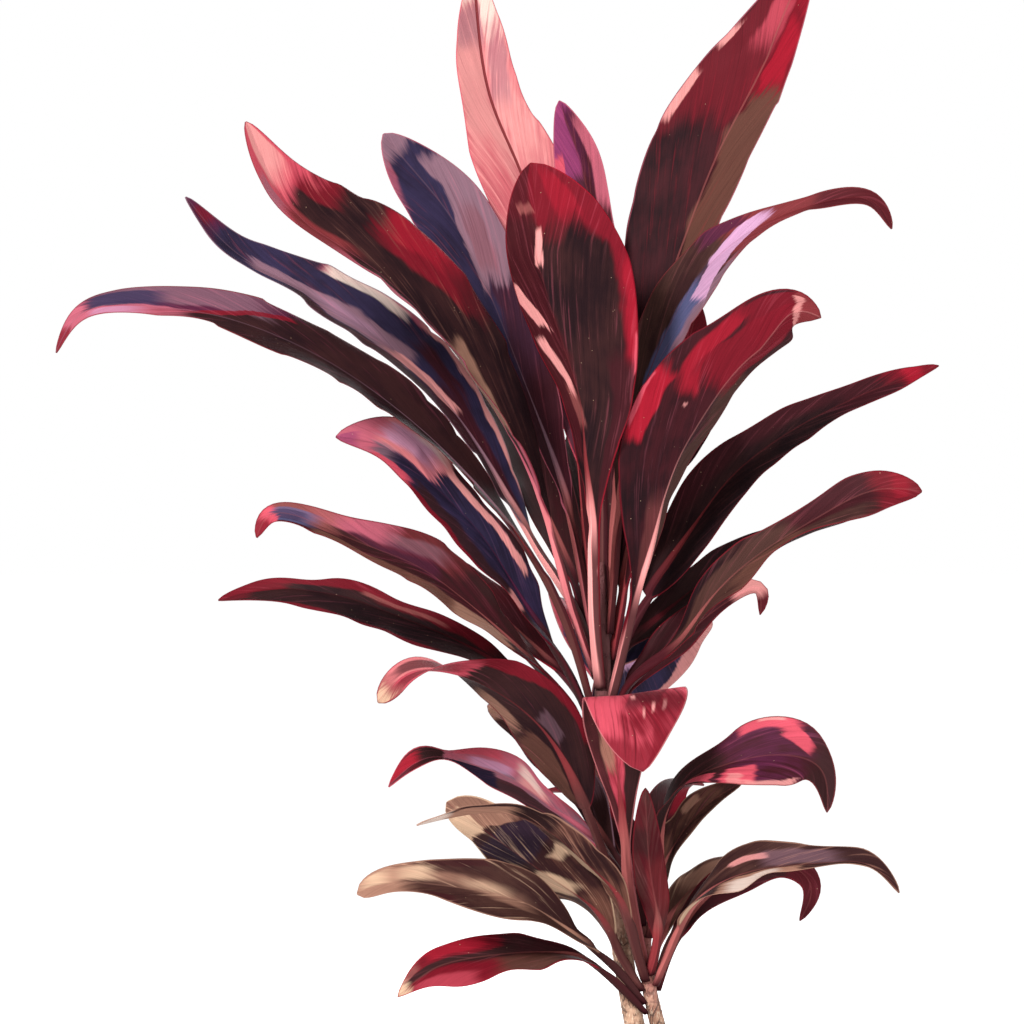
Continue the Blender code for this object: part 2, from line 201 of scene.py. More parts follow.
LEAVES = [
    Leaf("cane", "head_leaf_tall_left", 716,
         [(-50, 24, 775), (-66, 76, 930), (-94, 104, 1075), (-122, 120, 1166), (-150, 134, 1235),
          (-163, 138, 1309), (-168, 134, 1372)], 90, (0, 0, 5), "pink", 0.5),
    Leaf("cane", "head_leaf_small_upper", 730,
         [(-38, 16, 790), (-38, 38, 940), (-42, 60, 1080), (-58, 76, 1165), (-80, 80, 1230)],
         76, (0, 10, 20), "pink", 0.55),
    Leaf("cane", "head_leaf_upper_right", 700,
         [(-27, 14, 760), (-13, 38, 898), (18, 62, 1038), (46, 82, 1130), (66, 92, 1181),
          (97, 104, 1239), (155, 118, 1340), (184, 124, 1388)], 94, (0, 10, 10), "maroon", 0.6),
    Leaf("cane", "head_leaf_arching_right", 690,
         [(-26, -6, 750), (-6, -14, 900), (28, -30, 995), (66, -48, 1054), (115, -62, 1088),
          (190, -78, 1122), (250, -88, 1096)], 68, (0, 65, 60, 10), "navy"),
    Leaf("cane", "head_leaf_front", 636,
         [(-46, -26, 702), (-47, -58, 800), (-48, -86, 870), (-47, -100, 918), (-60, -120, 984),
          (-76, -140, 1043), (-92, -154, 1092), (-110, -162, 1141)], 124, (0, 0, 0), "maroon",
         0.7, 0.28),
    Leaf("cane", "head_leaf_red_right", 620,
         [(-12, -22, 696), (2, -52, 774), (17, -78, 874), (57, -98, 944), (105, -112, 990),
          (150, -120, 1012), (174, -114, 1002)], 84, (0, -25, -35), "red", 0.6),
    Leaf("cane", "head_leaf_behind_red", 664,
         [(-18, 8, 722), (-6, 22, 800), (32, 40, 880), (72, 54, 935), (94, 60, 952)],
         62, (0, 15, 25), "red"),
    Leaf("cane", "head_leaf_long_right", 622,
         [(-20, 10, 664), (20, 28, 740), (62, 48, 795), (108, 68, 851), (173, 92, 898),
          (236, 112, 931), (310, 130, 962)], 80, (0, 40, 42), "maroon", 0.28),
    Leaf("cane", "head_leaf_low_right", 600,
         [(-14, -4, 636), (32, -38, 676), (68, -62, 725), (115, -82, 770), (178, -102, 810),
          (232, -116, 834), (272, -122, 832)], 62, (0, 60, 60), "maroon", 0.55),
    Leaf("cane", "head_leaf_curled_right", 585,
         [(-18, 12, 622), (24, 34, 668), (62, 50, 700), (100, 62, 726), (126, 66, 732),
          (132, 60, 712)], 46, (0, 40, 40), "red"),
    Leaf("cane", "head_leaf_upper_left", 650,
         [(-67, -12, 712), (-86, -34, 780), (-120, -64, 884), (-170, -92, 974), (-228, -118, 1046),
          (-295, -138, 1092), (-343, -150, 1124), (-386, -158, 1190)], 90, (0, 50, 60), "maroon",
         0.5),
    Leaf("cane", "head_leaf_navy_left", 682,
         [(-56, 12, 738), (-76, 24, 830), (-120, 40, 954), (-165, 50, 1064), (-200, 54, 1124),
          (-232, 54, 1162), (-258, 50, 1186)], 84, (0, 20, 30), "navy", 0.6),
    Leaf("cane", "head_leaf_narrow_left", 666,
         [(-62, 10, 708), (-98, 28, 768), (-142, 48, 850), (-204, 72, 944), (-270, 98, 1002),
          (-340, 120, 1044), (-415, 138, 1084), (-464, 144, 1136)], 58, (0, 30, 35), "navy"),
    Leaf("cane", "head_leaf_long_left", 612,
         [(-64, -14, 672), (-97, -34, 750), (-150, -62, 824), (-215, -92, 895), (-295, -120, 956),
          (-378, -142, 996), (-474, -158, 1013), (-545, -164, 1006), (-570, -162, 972)],
         58, (0, 55, 62), "maroon"),
    Leaf("cane", "head_leaf_mid_left", 601,
         [(-68, 0, 645), (-112, -12, 714), (-155, -30, 784), (-210, -48, 842), (-255, -60, 876),
          (-302, -66, 886)], 72, (0, 50, 55), "navy"),
    Leaf("cane", "head_leaf_low_left", 574,
         [(-66, -12, 612), (-110, -40, 666), (-160, -68, 718), (-220, -98, 764), (-290, -124, 794),
          (-345, -138, 800), (-376, -142, 788)], 56, (0, 55, 60), "maroon"),
    Leaf("cane", "head_leaf_lowest_left", 560,
         [(-66, 8, 596), (-110, 24, 636), (-165, 42, 669), (-230, 60, 698), (-300, 76, 722),
          (-370, 86, 732), (-427, 90, 722)], 52, (0, 40, 45), "red"),
    Leaf("cane", "head_leaf_back_drooping", 592,
         [(-40, 26, 628), (-28, 60, 668), (-22, 110, 694), (-18, 170, 692), (-12, 230, 656),
          (-6, 280, 600)], 106, (0, 0, 0), "navy", 0.5),
    Leaf("cane", "head_leaf_back_left", 645,
         [(-54, 22, 700), (-84, 76, 790), (-118, 130, 880), (-156, 180, 970), (-192, 220, 1050)],
         80, (0, 0, 0), "maroon"),
    Leaf("cane", "head_leaf_back_right", 658,
         [(-33, 30, 714), (-14, 80, 800), (18, 128, 890), (50, 176, 970), (66, 214, 1030)],
         76, (0, 0, 0), "maroon"),
    Leaf("cane", "head_leaf_back_low_left", 582,
         [(-56, 20, 618), (-90, 56, 660), (-140, 104, 708), (-215, 156, 758), (-292, 196, 782)],
         70, (0, 0, 0), "red"),
    Leaf("cane", "head_leaf_back_low_right", 608,
         [(-31, 25, 648), (20, 68, 704), (80, 114, 750), (150, 156, 785), (222, 190, 804)],
         66, (0, 0, 0), "red"),
    Leaf("cane", "head_leaf_back_middle", 634,
         [(-42, 32, 688), (-41, 110, 780), (-36, 190, 860), (-32, 260, 910), (-28, 320, 920)],
         86, (0, 0, 0), "maroon"),
    Leaf("side_shoot_stem", "shoot_leaf_red_left", 312,
         [(-24, -27, 344), (-60, -44, 369), (-110, -66, 375), (-160, -84, 371), (-205, -96, 361),
          (-240, -104, 337)], 56, (0, 50, 55), "red", 0.55),
    Leaf("side_shoot_stem", "shoot_leaf_bronze_left", 322,
         [(-24, -32, 358), (-66, -74, 393), (-110, -106, 420), (-160, -132, 436), (-210, -148, 446),
          (-250, -156, 449), (-278, -160, 442)], 72, (0, 60, 75), "bronze", 0.5),
    Leaf("side_shoot_stem", "shoot_leaf_tan_left", 335,
         [(-22, -30, 374), (-46, -54, 418), (-86, -74, 450), (-130, -90, 482), (-165, -100, 508),
          (-192, -104, 528)], 72, (0, -40, -45), "bronze", 0.5),
    Leaf("side_shoot_stem", "shoot_leaf_narrow_left", 345,
         [(-6, -48, 382), (-28, -92, 441), (-60, -122, 475), (-95, -144, 505), (-135, -160, 521),
          (-180, -172, 519), (-220, -178, 510)], 44, (0, 15, 15), "bronze"),
    Leaf("side_shoot_stem", "shoot_leaf_twisted_left", 414,
         [(-15, -14, 442), (-46, -20, 484), (-87, -24, 516), (-125, -32, 544), (-170, -44, 562),
          (-212, -54, 568), (-250, -56, 540)], 48, (0, 45, 20), "pink"),
    Leaf("side_shoot_stem", "shoot_leaf_mauve_left", 400,
         [(-3, -30, 434), (-30, -42, 478), (-60, -54, 528), (-97, -66, 572), (-124, -74, 602),
          (-152, -80, 622)], 50, (0, 0, 0), "bronze", 0.45, 0.3),
    Leaf("side_shoot_stem", "shoot_leaf_curled_left", 384,
         [(-16, -34, 416), (-38, -62, 474), (-62, -94, 536), (-98, -122, 600), (-140, -140, 636),
          (-182, -152, 655), (-228, -152, 655), (-258, -146, 627)], 74,
         (0, -20, -40, -45, -45, -25, 20, 70), "maroon", 0.42, 0.36),
    Leaf("side_shoot_stem", "shoot_leaf_folded_pink", 361,
         [(-6, -44, 403), (-14, -72, 458), (-16, -96, 520), (-15, -114, 574), (-12, -130, 604),
          (-8, -156, 616), (-4, -180, 598), (-2, -190, 556)], 106, (0, 0, -15, -36, -38), "pink",
         0.68, 0.33, 3.0),
    Leaf("side_shoot_stem", "shoot_leaf_upright_red", 351,
         [(17, -50, 396), (9, -94, 450), (6, -116, 490), (8, -132, 528)], 36, (0, 0, 0), "red",
         0.45, 0.2, 45.0),
    Leaf("side_shoot_stem", "shoot_leaf_arched_right", 388,
         [(16, -30, 428), (20, -50, 476), (25, -68, 520), (46, -86, 548), (76, -98, 562),
          (125, -112, 574), (168, -122, 560), (190, -126, 518)], 64, (0, 40, 80, 80), "pink", 0.6),
    Leaf("side_shoot_stem", "shoot_leaf_brown_right", 398,
         [(14, -8, 428), (22, -18, 456), (38, -32, 488), (66, -44, 522), (100, -54, 544)],
         44, (0, 20, 20), "bronze"),
    Leaf("side_shoot_stem", "shoot_leaf_low_right", 340,
         [(28, -28, 374), (46, -48, 414), (82, -72, 448), (130, -92, 463), (176, -106, 468),
          (222, -114, 466), (250, -118, 440)], 56, (0, 55, 60), "maroon", 0.3),
    Leaf("side_shoot_stem", "shoot_leaf_curled_right", 334,
         [(26, 4, 364), (62, 20, 419), (105, 34, 446), (148, 44, 456), (172, 44, 438),
          (162, 40, 400)], 36, (0, 40, 40), "red"),
    Leaf("side_shoot_stem", "shoot_leaf_back_right", 326,
         [(14, 18, 356), (30, 50, 400), (60, 90, 432), (110, 130, 450), (160, 160, 440)],
         52, (0, 0, 0), "bronze"),
    Leaf("side_shoot_stem", "shoot_leaf_back_left", 358,
         [(0, 26, 395), (-10, 60, 440), (-30, 110, 490), (-60, 160, 520), (-100, 200, 520)],
         56, (0, 0, 0), "maroon"),
    Leaf("side_shoot_stem", "shoot_leaf_back_middle", 372,
         [(10, 16, 410), (16, 44, 460), (28, 80, 505), (44, 120, 530), (70, 160, 530)],
         54, (0, 0, 0), "maroon"),
]

STEMS = {"cane": (CANE_LINE, CANE_RADII), "side_shoot_stem": (SHOOT_LINE, SHOOT_RADII)}
print(len(LEAVES), "leaves on", len(STEMS), "stems")

# %% [markdown]
# No real leaf is as even as its solid. One margin is drawn in, the other bulges, and the midrib
# often lies nearer one margin. A cut gives these for a leaf: how far each margin stands from the
# even outline at eight places from 0.3 of the length to the tip, and where the midrib lies. A few
# tips also hook, lift or twist a little more than their solids do, so a cut may name its own last
# places and its own turn.

# %% How each leaf's margins and midrib depart from the even blade
Cut = namedtuple("Cut", "left right rib ends turn", defaults=((1,), (1,), 0.0, (), None))

CUTS = {
    "head_leaf_tall_left": Cut((1, 1, 1, 1.1, 1.2, 1, 1.1, 1), (1, 1, 1, 1, 0.95, 0.85, 1.05, 1)),
    "head_leaf_small_upper": Cut((1,), (1, 1, 1, 0.8, 0.65, 0.7, 0.95, 1)),
    "head_leaf_upper_right": Cut((1, 1, 1.1, 1.1, 1.1, 1, 0.8, 0.9),
                                 (1, 1.1, 1.2, 1.3, 1.3, 1.3, 1.2, 1), 0.3),
    "head_leaf_arching_right": Cut((1, 1, 1, 1, 0.85, 0.4, 0.6, 1),
                                   (1, 1, 1.15, 1.2, 1, 0.55, 0.8, 1.2), 0,
                                   ((184, -76, 1118), (228, -84, 1116), (245, -88, 1090)),
                                   (0, 65, 60, 55)),
    "head_leaf_front": Cut((1,), (1,), 0.38, ((-110, -162, 1150),)),
    "head_leaf_red_right": Cut((1, 1, 1.1, 1.2, 1.1, 1.05, 1.4, 1.2),
                               (1, 1, 1, 0.97, 0.9, 0.74, 0.78, 0.8), -0.55),
    "head_leaf_behind_red": Cut((1,), (1, 1, 1.2, 1.5, 1.9, 2, 1.5, 1)),
    "head_leaf_curled_right": Cut((1,), (1, 0.9, 0.75, 0.55, 0.42, 0.42, 0.5, 0.7), 0,
                                  ((120, 66, 731), (123, 60, 708))),
    "head_leaf_back_low_left": Cut((0.75,), (0.75,)),
    "head_leaf_long_right": Cut((0.8, 0.95, 1, 0.88, 0.95, 0.82, 0.9, 1),
                                (0.8, 0.65, 0.55, 0.5, 0.48, 0.48, 0.75, 0.6), -0.2),
    "head_leaf_low_right": Cut((1, 0.95, 0.75, 0.55, 0.45, 0.65, 1, 1.3),
                               (1, 0.85, 0.8, 0.4, 0.35, 0.85, 1.4, 1.4)),
    "head_leaf_upper_left": Cut((1, 1, 1, 1.1, 1.2, 1.2, 1.4, 1.4), (1, 1, 1, 1.1, 1.1, 1, 1.15, 1.1),
                                -0.6),
    "head_leaf_navy_left": Cut((1, 1, 1, 1, 1.1, 1.25, 1.45, 1.5), (1, 1, 1, 1, 1, 1.1, 1.2, 1.3), 0,
                               ((-258, 50, 1194),)),
    "head_leaf_narrow_left": Cut((1, 1, 1.2, 1.25, 1.25, 0.95, 1.15, 1),
                                 (1, 1.1, 1.25, 1.35, 1.42, 1.4, 1.1, 1.3), -0.3),
    "head_leaf_long_left": Cut((1, 1, 1.15, 1.15, 1.25, 0.8, 1.1, 1),
                               (1, 1, 1.05, 0.95, 0.95, 1.05, 0.85, 0.8), -0.2,
                               ((-546, -164, 1003), (-569, -162, 966))),
    "head_leaf_mid_left": Cut((1, 0.78, 1, 1.05, 0.95, 0.85, 0.8, 0.9),
                              (0.8, 0.85, 0.7, 0.65, 0.8, 1.3, 1.6, 1.5)),
    "head_leaf_low_left": Cut((1.3, 1.5, 1.5, 1.3, 1.15, 0.85, 1.05, 1.2),
                              (0.75, 0.85, 1.05, 1, 0.85, 0.62, 0.65, 1.1), -0.2,
                              ((-300, -127, 795), (-367, -141, 806), (-376, -143, 787))),
    "head_leaf_back_low_right": Cut((0.7, 0.6, 0.5, 0.5, 0.5, 0.5, 0.6, 0.7),
                                    (1, 1, 0.8, 0.7, 0.7, 0.7, 0.7, 0.7)),
    "head_leaf_back_drooping": Cut((1.4,), (1.75,), 0,
                                   ((-22, 110, 700), (-18, 170, 699), (-12, 230, 662), (-6, 280, 604))),
    "head_leaf_lowest_left": Cut((1, 1, 1.2, 1.15, 1.15, 1.2, 1.2, 0.8),
                                 (1, 1, 0.8, 0.7, 1.05, 0.65, 0.95, 1.1), 0.2),
    "shoot_leaf_red_left": Cut((0.65, 0.6, 0.95, 0.78, 0.95, 1.12, 0.85, 0.6),
                               (0.65, 0.55, 0.75, 0.85, 0.85, 0.85, 0.85, 0.6), 0.15),
    "shoot_leaf_bronze_left": Cut((0.65, 0.5, 0.5, 0.62, 0.5, 0.3, 0.4, 1.2),
                                  (0.7, 0.9, 1.1, 1.12, 1.05, 0.95, 1, 1.5), 0.2),
    "shoot_leaf_tan_left": Cut((0.75, 0.9, 1.1, 1.2, 1.2, 1.1, 1.3, 1.8),
                               (0.65, 0.6, 1, 1, 1, 0.9, 1.05, 1.6)),
    "shoot_leaf_narrow_left": Cut((0.8, 1, 1, 0.7, 1, 1.1, 1.15, 1), (0.8, 1, 1, 1, 1, 1, 1, 1)),
    "shoot_leaf_twisted_left": Cut((0.7, 0.85, 1, 1.05, 0.9, 0.42, 0.9, 0.8),
                                   (0.5, 0.4, 0.6, 0.95, 0.85, 0.38, 1.1, 0.8)),
    "shoot_leaf_mauve_left": Cut((0.7, 0.9, 1, 1, 1, 1, 1.2, 1.6),
                                 (0.7, 0.7, 0.6, 0.7, 0.9, 0.95, 1.2, 1.7)),
    "shoot_leaf_upright_red": Cut((0.88,), (0.82,), 0, ((4, -114, 498), (2, -130, 543))),
    "shoot_leaf_back_left": Cut((0.55,), (0.9,)),
    "shoot_leaf_back_middle": Cut((0.8,), (0.65,)),
    "shoot_leaf_back_right": Cut((0.6,), (0.5,)),
    "shoot_leaf_curled_left": Cut((0.8, 0.9, 1, 1, 1.05, 1.25, 1.9, 1.8),
                                  (0.7, 0.8, 0.9, 0.8, 0.65, 0.95, 1.3, 1.5), 0, (),
                                  (0, -20, -40, -45, -45, -25, 30, 80)),
    "shoot_leaf_folded_pink": Cut((1, 0.6, 0.5, 0.6, 0.85, 0.95, 0.7, 0.5), (1,), 0.3,
                                  ((-15, -114, 588), (-12, -130, 619), (-8, -152, 635),
                                   (-4, -178, 620), (-2, -190, 562))),
    "shoot_leaf_arched_right": Cut((0.8, 1, 0.65, 0.7, 1.1, 1.2, 0.55, 0.6),
                                   (0.8, 1, 0.75, 0.9, 1.15, 1.25, 0.95, 0.7), 0,
                                   ((172, -122, 562), (179, -126, 519))),
    "shoot_leaf_brown_right": Cut((1, 1, 1, 0.7, 0.9, 0.9, 0.95, 1),
                                  (1, 0.6, 0.45, 0.45, 0.45, 0.5, 0.5, 0.6)),
    "shoot_leaf_low_right": Cut((0.7, 0.9, 1.2, 1, 0.95, 1, 1, 1),
                                (0.7, 0.9, 1.1, 0.5, 0.5, 0.4, 0.4, 0.6)),
}
print(len(CUTS), "leaves have their own margins")

# %% [markdown]
# A leaf grows along its midrib. The midrib is a smooth curve through the leaf's own places, and a
# face direction is carried along it without twisting, then turned by the leaf's own turn. The foot
# is slid until it just clears the stem, as a leaf's base sits on the cane.

# %% Midrib, frame and width of a leaf
STALK_HALF = 5.6
STALK_THICK = 4.2
FOOT_HALF = 6.2
BLADE_THICK = 1.5
EDGE_THICK = 0.8
TIP_HALF = 0.7
BLUNTNESS = 0.66
FOOT_GAP = 0.3
STEM_RINGS = 17


def cut_of(leaf):
    return CUTS.get(leaf.name, Cut())


def unit(vector):
    return vector / np.linalg.norm(vector)


def curve_through(points, count):
    """Points evenly spaced along a natural cubic curve through the given ones."""
    points = np.asarray(points, float)
    knots = np.concatenate([[0.0], np.cumsum(np.linalg.norm(np.diff(points, axis=0), axis=1))])
    gaps = np.diff(knots)
    slopes = np.diff(points, axis=0) / gaps[:, None]
    system = np.eye(len(knots))
    right = np.zeros_like(points)
    for i in range(1, len(knots) - 1):
        system[i, i - 1:i + 2] = gaps[i - 1], 2 * (gaps[i - 1] + gaps[i]), gaps[i]
        right[i] = 6 * (slopes[i] - slopes[i - 1])
    bends = np.linalg.solve(system, right)
    places = np.linspace(0.0, knots[-1], count)
    span = np.clip(np.searchsorted(knots, places, side="right") - 1, 0, len(gaps) - 1)
    gap = gaps[span][:, None]
    before = (places - knots[span])[:, None]
    after = gap - before
    return (bends[span] * after ** 3 / (6 * gap) + bends[span + 1] * before ** 3 / (6 * gap)
            + (points[span] / gap - bends[span] * gap / 6) * after
            + (points[span + 1] / gap - bends[span + 1] * gap / 6) * before)


def place_on(stem, height):
    """The stem's middle and radius at a height."""
    line, radii = STEMS[stem]
    path = curve_through(line, STEM_RINGS)
    middle = [np.interp(height, path[:, 2], path[:, axis]) for axis in (0, 1)]
    return np.array([*middle, height]), np.interp(height, [point[2] for point in line], radii)


def midrib(leaf, spacing):
    """Fine points from the foot to the tip, and the inward direction at the foot."""
    middle, radius = place_on(leaf.stem, leaf.foot)
    outward = np.array(leaf.line[0], float) - middle
    outward[2] = 0.0
    outward = unit(outward)
    foot = middle + outward * (radius + FOOT_GAP + STALK_THICK / 2)
    ends = cut_of(leaf).ends
    line = [*leaf.line[:len(leaf.line) - len(ends)], *ends]
    points = [foot] + [np.array(point, float) for point in line]
    length = sum(np.linalg.norm(b - a) for a, b in zip(points, points[1:]))
    return curve_through(points, int(length / spacing) + 3), -outward


def carried_faces(path, first_face):
    """Tangents, and the face direction carried along without twisting."""
    tangents = np.gradient(path, axis=0)
    tangents /= np.linalg.norm(tangents, axis=1)[:, None]
    faces = [np.asarray(first_face, float)]
    for tangent in tangents:
        faces.append(unit(faces[-1] - tangent * (faces[-1] @ tangent)))
    return tangents, np.array(faces[1:])


def half_width(leaf, reach):
    """Half the width at each point: a narrow stalk, then a blade that swells and tapers."""
    stalk = FOOT_HALF + (STALK_HALF - FOOT_HALF) * np.minimum(reach / leaf.stalk, 1.0)
    stalk = stalk * (1.0 - reach ** 3)
    on_blade = np.clip((reach - leaf.stalk) / (1.0 - leaf.stalk), 0.0, 1.0)
    power = math.log(0.5) / math.log(leaf.widest)
    swell = np.maximum(np.sin(math.pi * on_blade ** power), 0.0) ** BLUNTNESS
    return np.hypot(stalk, leaf.width / 2 * swell) + TIP_HALF * reach


print("longest midrib", round(max(len(midrib(leaf, 1.0)[0]) for leaf in LEAVES)), "mm")

# %% [markdown]
# Two small helper meshes steer the leaf. The guide is a row of points on the midrib, and each
# point carries what the blade needs there: which way it faces, its half-widths, its thickness, and
# how far its margins lift or ripple. The section is the outline of one cut across the blade, with
# more points near the midrib and the rims, where the form changes fastest.

# %% Guide along the midrib and section across the blade
SECTION = [0.0, 0.035, 0.08, 0.16, 0.28, 0.42, 0.57, 0.71, 0.83, 0.92, 0.975]
RIM_ROUNDING = 0.6
ROW_SPACING = 5.0


def mesh_of(name, points):
    mesh = bpy.data.meshes.new(name)
    mesh.from_pydata([tuple(map(float, point)) for point in points], [], [])
    thing = bpy.data.objects.new(name, mesh)
    bpy.context.collection.objects.link(thing)
    return thing


def section_outline():
    """(across, up) points round the cut: up is 1 on the upper face and -1 on the lower one."""
    upper = [(-v, 1.0) for v in reversed(SECTION[1:])] + [(v, 1.0) for v in SECTION]
    upper[0] = (upper[0][0], RIM_ROUNDING)
    upper[-1] = (upper[-1][0], RIM_ROUNDING)
    lower = [(across, -up) for across, up in reversed(upper)]
    return [(-1.0, 0.0)] + upper + [(1.0, 0.0)] + lower + [(-1.0, 0.0)]


def smooth_random(rng, reach, waves):
    """A smooth wandering value between about -1 and 1."""
    knots = np.linspace(0.0, 1.0, waves + 2)
    heights = rng.uniform(-1.0, 1.0, (waves + 2, 1))
    fine = curve_through(np.column_stack([knots * 10, heights[:, 0], 0 * knots]), 200)
    return np.interp(reach, np.clip(fine[:, 0] / 10, 0, 1), fine[:, 1])


def seat_foot(leaf, path, inward):
    """Slide the first few points so that the foot just clears the stem."""
    middle, radius = place_on(leaf.stem, path[0][2])
    room = math.hypot(*(path[0] - middle)[:2]) - radius - STALK_THICK * 0.4 - FOOT_GAP
    steps = np.linalg.norm(path - path[0], axis=1)
    return path + inward * (room * np.clip(1 - steps / 40.0, 0, 1))[:, None]


def margin_at(reach, margin):
    """A margin's factor at each reach, smooth between its eight given places."""
    if len(margin) == 1:
        return np.ones(len(reach)) * margin[0]
    fine = curve_through([(0.5 * place, value, 0) for place, value in enumerate(margin)], 120)
    return np.interp(reach, 0.3 + 0.2 * fine[:, 0], fine[:, 1])


def turned_faces(leaf, path, inward, reach):
    """Face and side directions along the midrib, turned about it by the leaf's own angles."""
    tangents, faces = carried_faces(path, inward)
    toward = 1.0 if leaf.line[-1][0] > path[0][0] else -1.0
    turns = cut_of(leaf).turn or leaf.turn
    turn = toward * np.radians(np.interp(reach, np.linspace(0, 1, len(turns)), turns))[:, None]
    faces = faces * np.cos(turn) + np.cross(tangents, faces) * np.sin(turn)
    return faces, np.cross(tangents, faces)


outline = section_outline()
section = mesh_of("section", [(across, up, 0.0) for across, up in outline])
print("section has", len(outline), "points")

# %% [markdown]
# The stalk is thick and rounded, and thins out into the blade, where the margins wander a little on
# their own. The two margins ripple out of step, and the midrib fades towards the tip. The first and
# last rows aren't alive, which closes the leaf there in a point.

# %% What each point of the guide carries
MARGIN_WANDER = 0.03
WAVES, WAVE_LAG = 14, 2
STALK_EDGE = 2.0
PLUMP_MIDDLE, PLUMP_EDGE = 4.6, 2.0
RIB_RISE, RIB_LEAST = 1.6, 0.2
FRILL_ROWS = 5


def guide_values(leaf, reach, rng):
    cut = cut_of(leaf)
    blade = np.minimum(reach / leaf.stalk, 1.0) ** 2
    plump = np.sin(math.pi * np.clip(reach / (leaf.stalk * 1.3), 0, 1)) ** 0.8
    half = half_width(leaf, reach)
    fade = blade * np.clip((1 - reach) * 6, 0, 1)
    left, right = (margin_at(reach, margin) for margin in (cut.left, cut.right))
    ripple = leaf.ripple * blade * (1 - reach)
    frills = int(len(reach) / FRILL_ROWS)
    return {
        "reach": reach,
        "half_left": half * left * (1 + MARGIN_WANDER * fade * smooth_random(rng, reach, 7)),
        "half_right": half * right * (1 + MARGIN_WANDER * fade * smooth_random(rng, reach, 7)),
        "rib_place": cut.rib * fade * np.minimum(reach / leaf.stalk, 1.0),
        "middle_thick": STALK_THICK + (BLADE_THICK - STALK_THICK) * blade + PLUMP_MIDDLE * plump,
        "edge_thick": STALK_EDGE + (EDGE_THICK - STALK_EDGE) * blade + PLUMP_EDGE * plump,
        "lift": half * math.sin(math.radians(leaf.gutter)) * (0.35 + 0.65 * blade),
        "wave_left": ripple * np.sin(WAVES * reach),
        "wave_right": ripple * np.sin(WAVES * reach + WAVE_LAG),
        "frill_left": leaf.frill * fade * smooth_random(rng, reach, frills),
        "frill_right": leaf.frill * fade * smooth_random(rng, reach, frills),
        "rib": RIB_RISE * blade * (1 - reach) + RIB_LEAST,
        "alive": np.ones(len(reach)),
    }


def guide_of(leaf, seed):
    path, inward = midrib(leaf, ROW_SPACING)
    path = seat_foot(leaf, path, inward)
    reach = np.linspace(0.0, 1.0, len(path))
    faces, sides = turned_faces(leaf, path, inward, reach)
    values = guide_values(leaf, reach, np.random.default_rng(seed))
    ends = [0] + list(range(len(path))) + [len(path) - 1]
    guide = mesh_of("guide", path[ends])
    for name, row in values.items():
        row = np.array(row)[ends]
        if name == "alive":
            row[[0, -1]] = 0.0
        guide.data.attributes.new(name, "FLOAT", "POINT").data.foreach_set("value", row)
    for name, rows in (("face", faces), ("side", sides)):
        guide.data.attributes.new(name, "FLOAT_VECTOR", "POINT").data.foreach_set(
            "vector", rows[ends].ravel())
    return guide


print("margins wander by up to", round(MARGIN_WANDER * 100), "percent")

# %% [markdown]
# Geometry Nodes sweep the section along the guide. A grid gives the right number of points; each
# point looks up its row on the guide and its column on the section, and moves to midrib plus side
# times half-width, plus the lift of the gutter, the waves and half the thickness. The rows at both
# ends shrink to a point, and merging closes the seam and the poles. Five maps are stored for the
# colours: true size (from the midrib, along), shares (-1 to 1 across, 0 to 1 along), how far the
# rim is, which face it is, and how far the skin turns to the right.

# %% The tree that grows a leaf
RIB_SPREAD = 9.0
RIB_ABOVE = 0.25
STEEP = 1000
MERGE_WITHIN = 1e-6


def new_tree(name, inputs):
    tree = bpy.data.node_groups.new(name, "GeometryNodeTree")
    for label, kind in inputs:
        tree.interface.new_socket(label, in_out="INPUT", socket_type=kind)
    tree.interface.new_socket("Geometry", in_out="OUTPUT", socket_type="NodeSocketGeometry")
    return tree, Bench(tree)


def with_map(bench, shape, name, kind, value):
    """The shape with a value stored on its corners, the same on all corners of a point."""
    carried = "FLOAT_VECTOR" if kind == "FLOAT2" else kind
    value = bench.add("GeometryNodeFieldOnDomain", {"data_type": carried, "domain": "POINT"},
                      {"Value": value})
    return bench.add("GeometryNodeStoreNamedAttribute", {"data_type": kind, "domain": "CORNER"},
                     {"Geometry": shape, "Name": name, "Value": value})


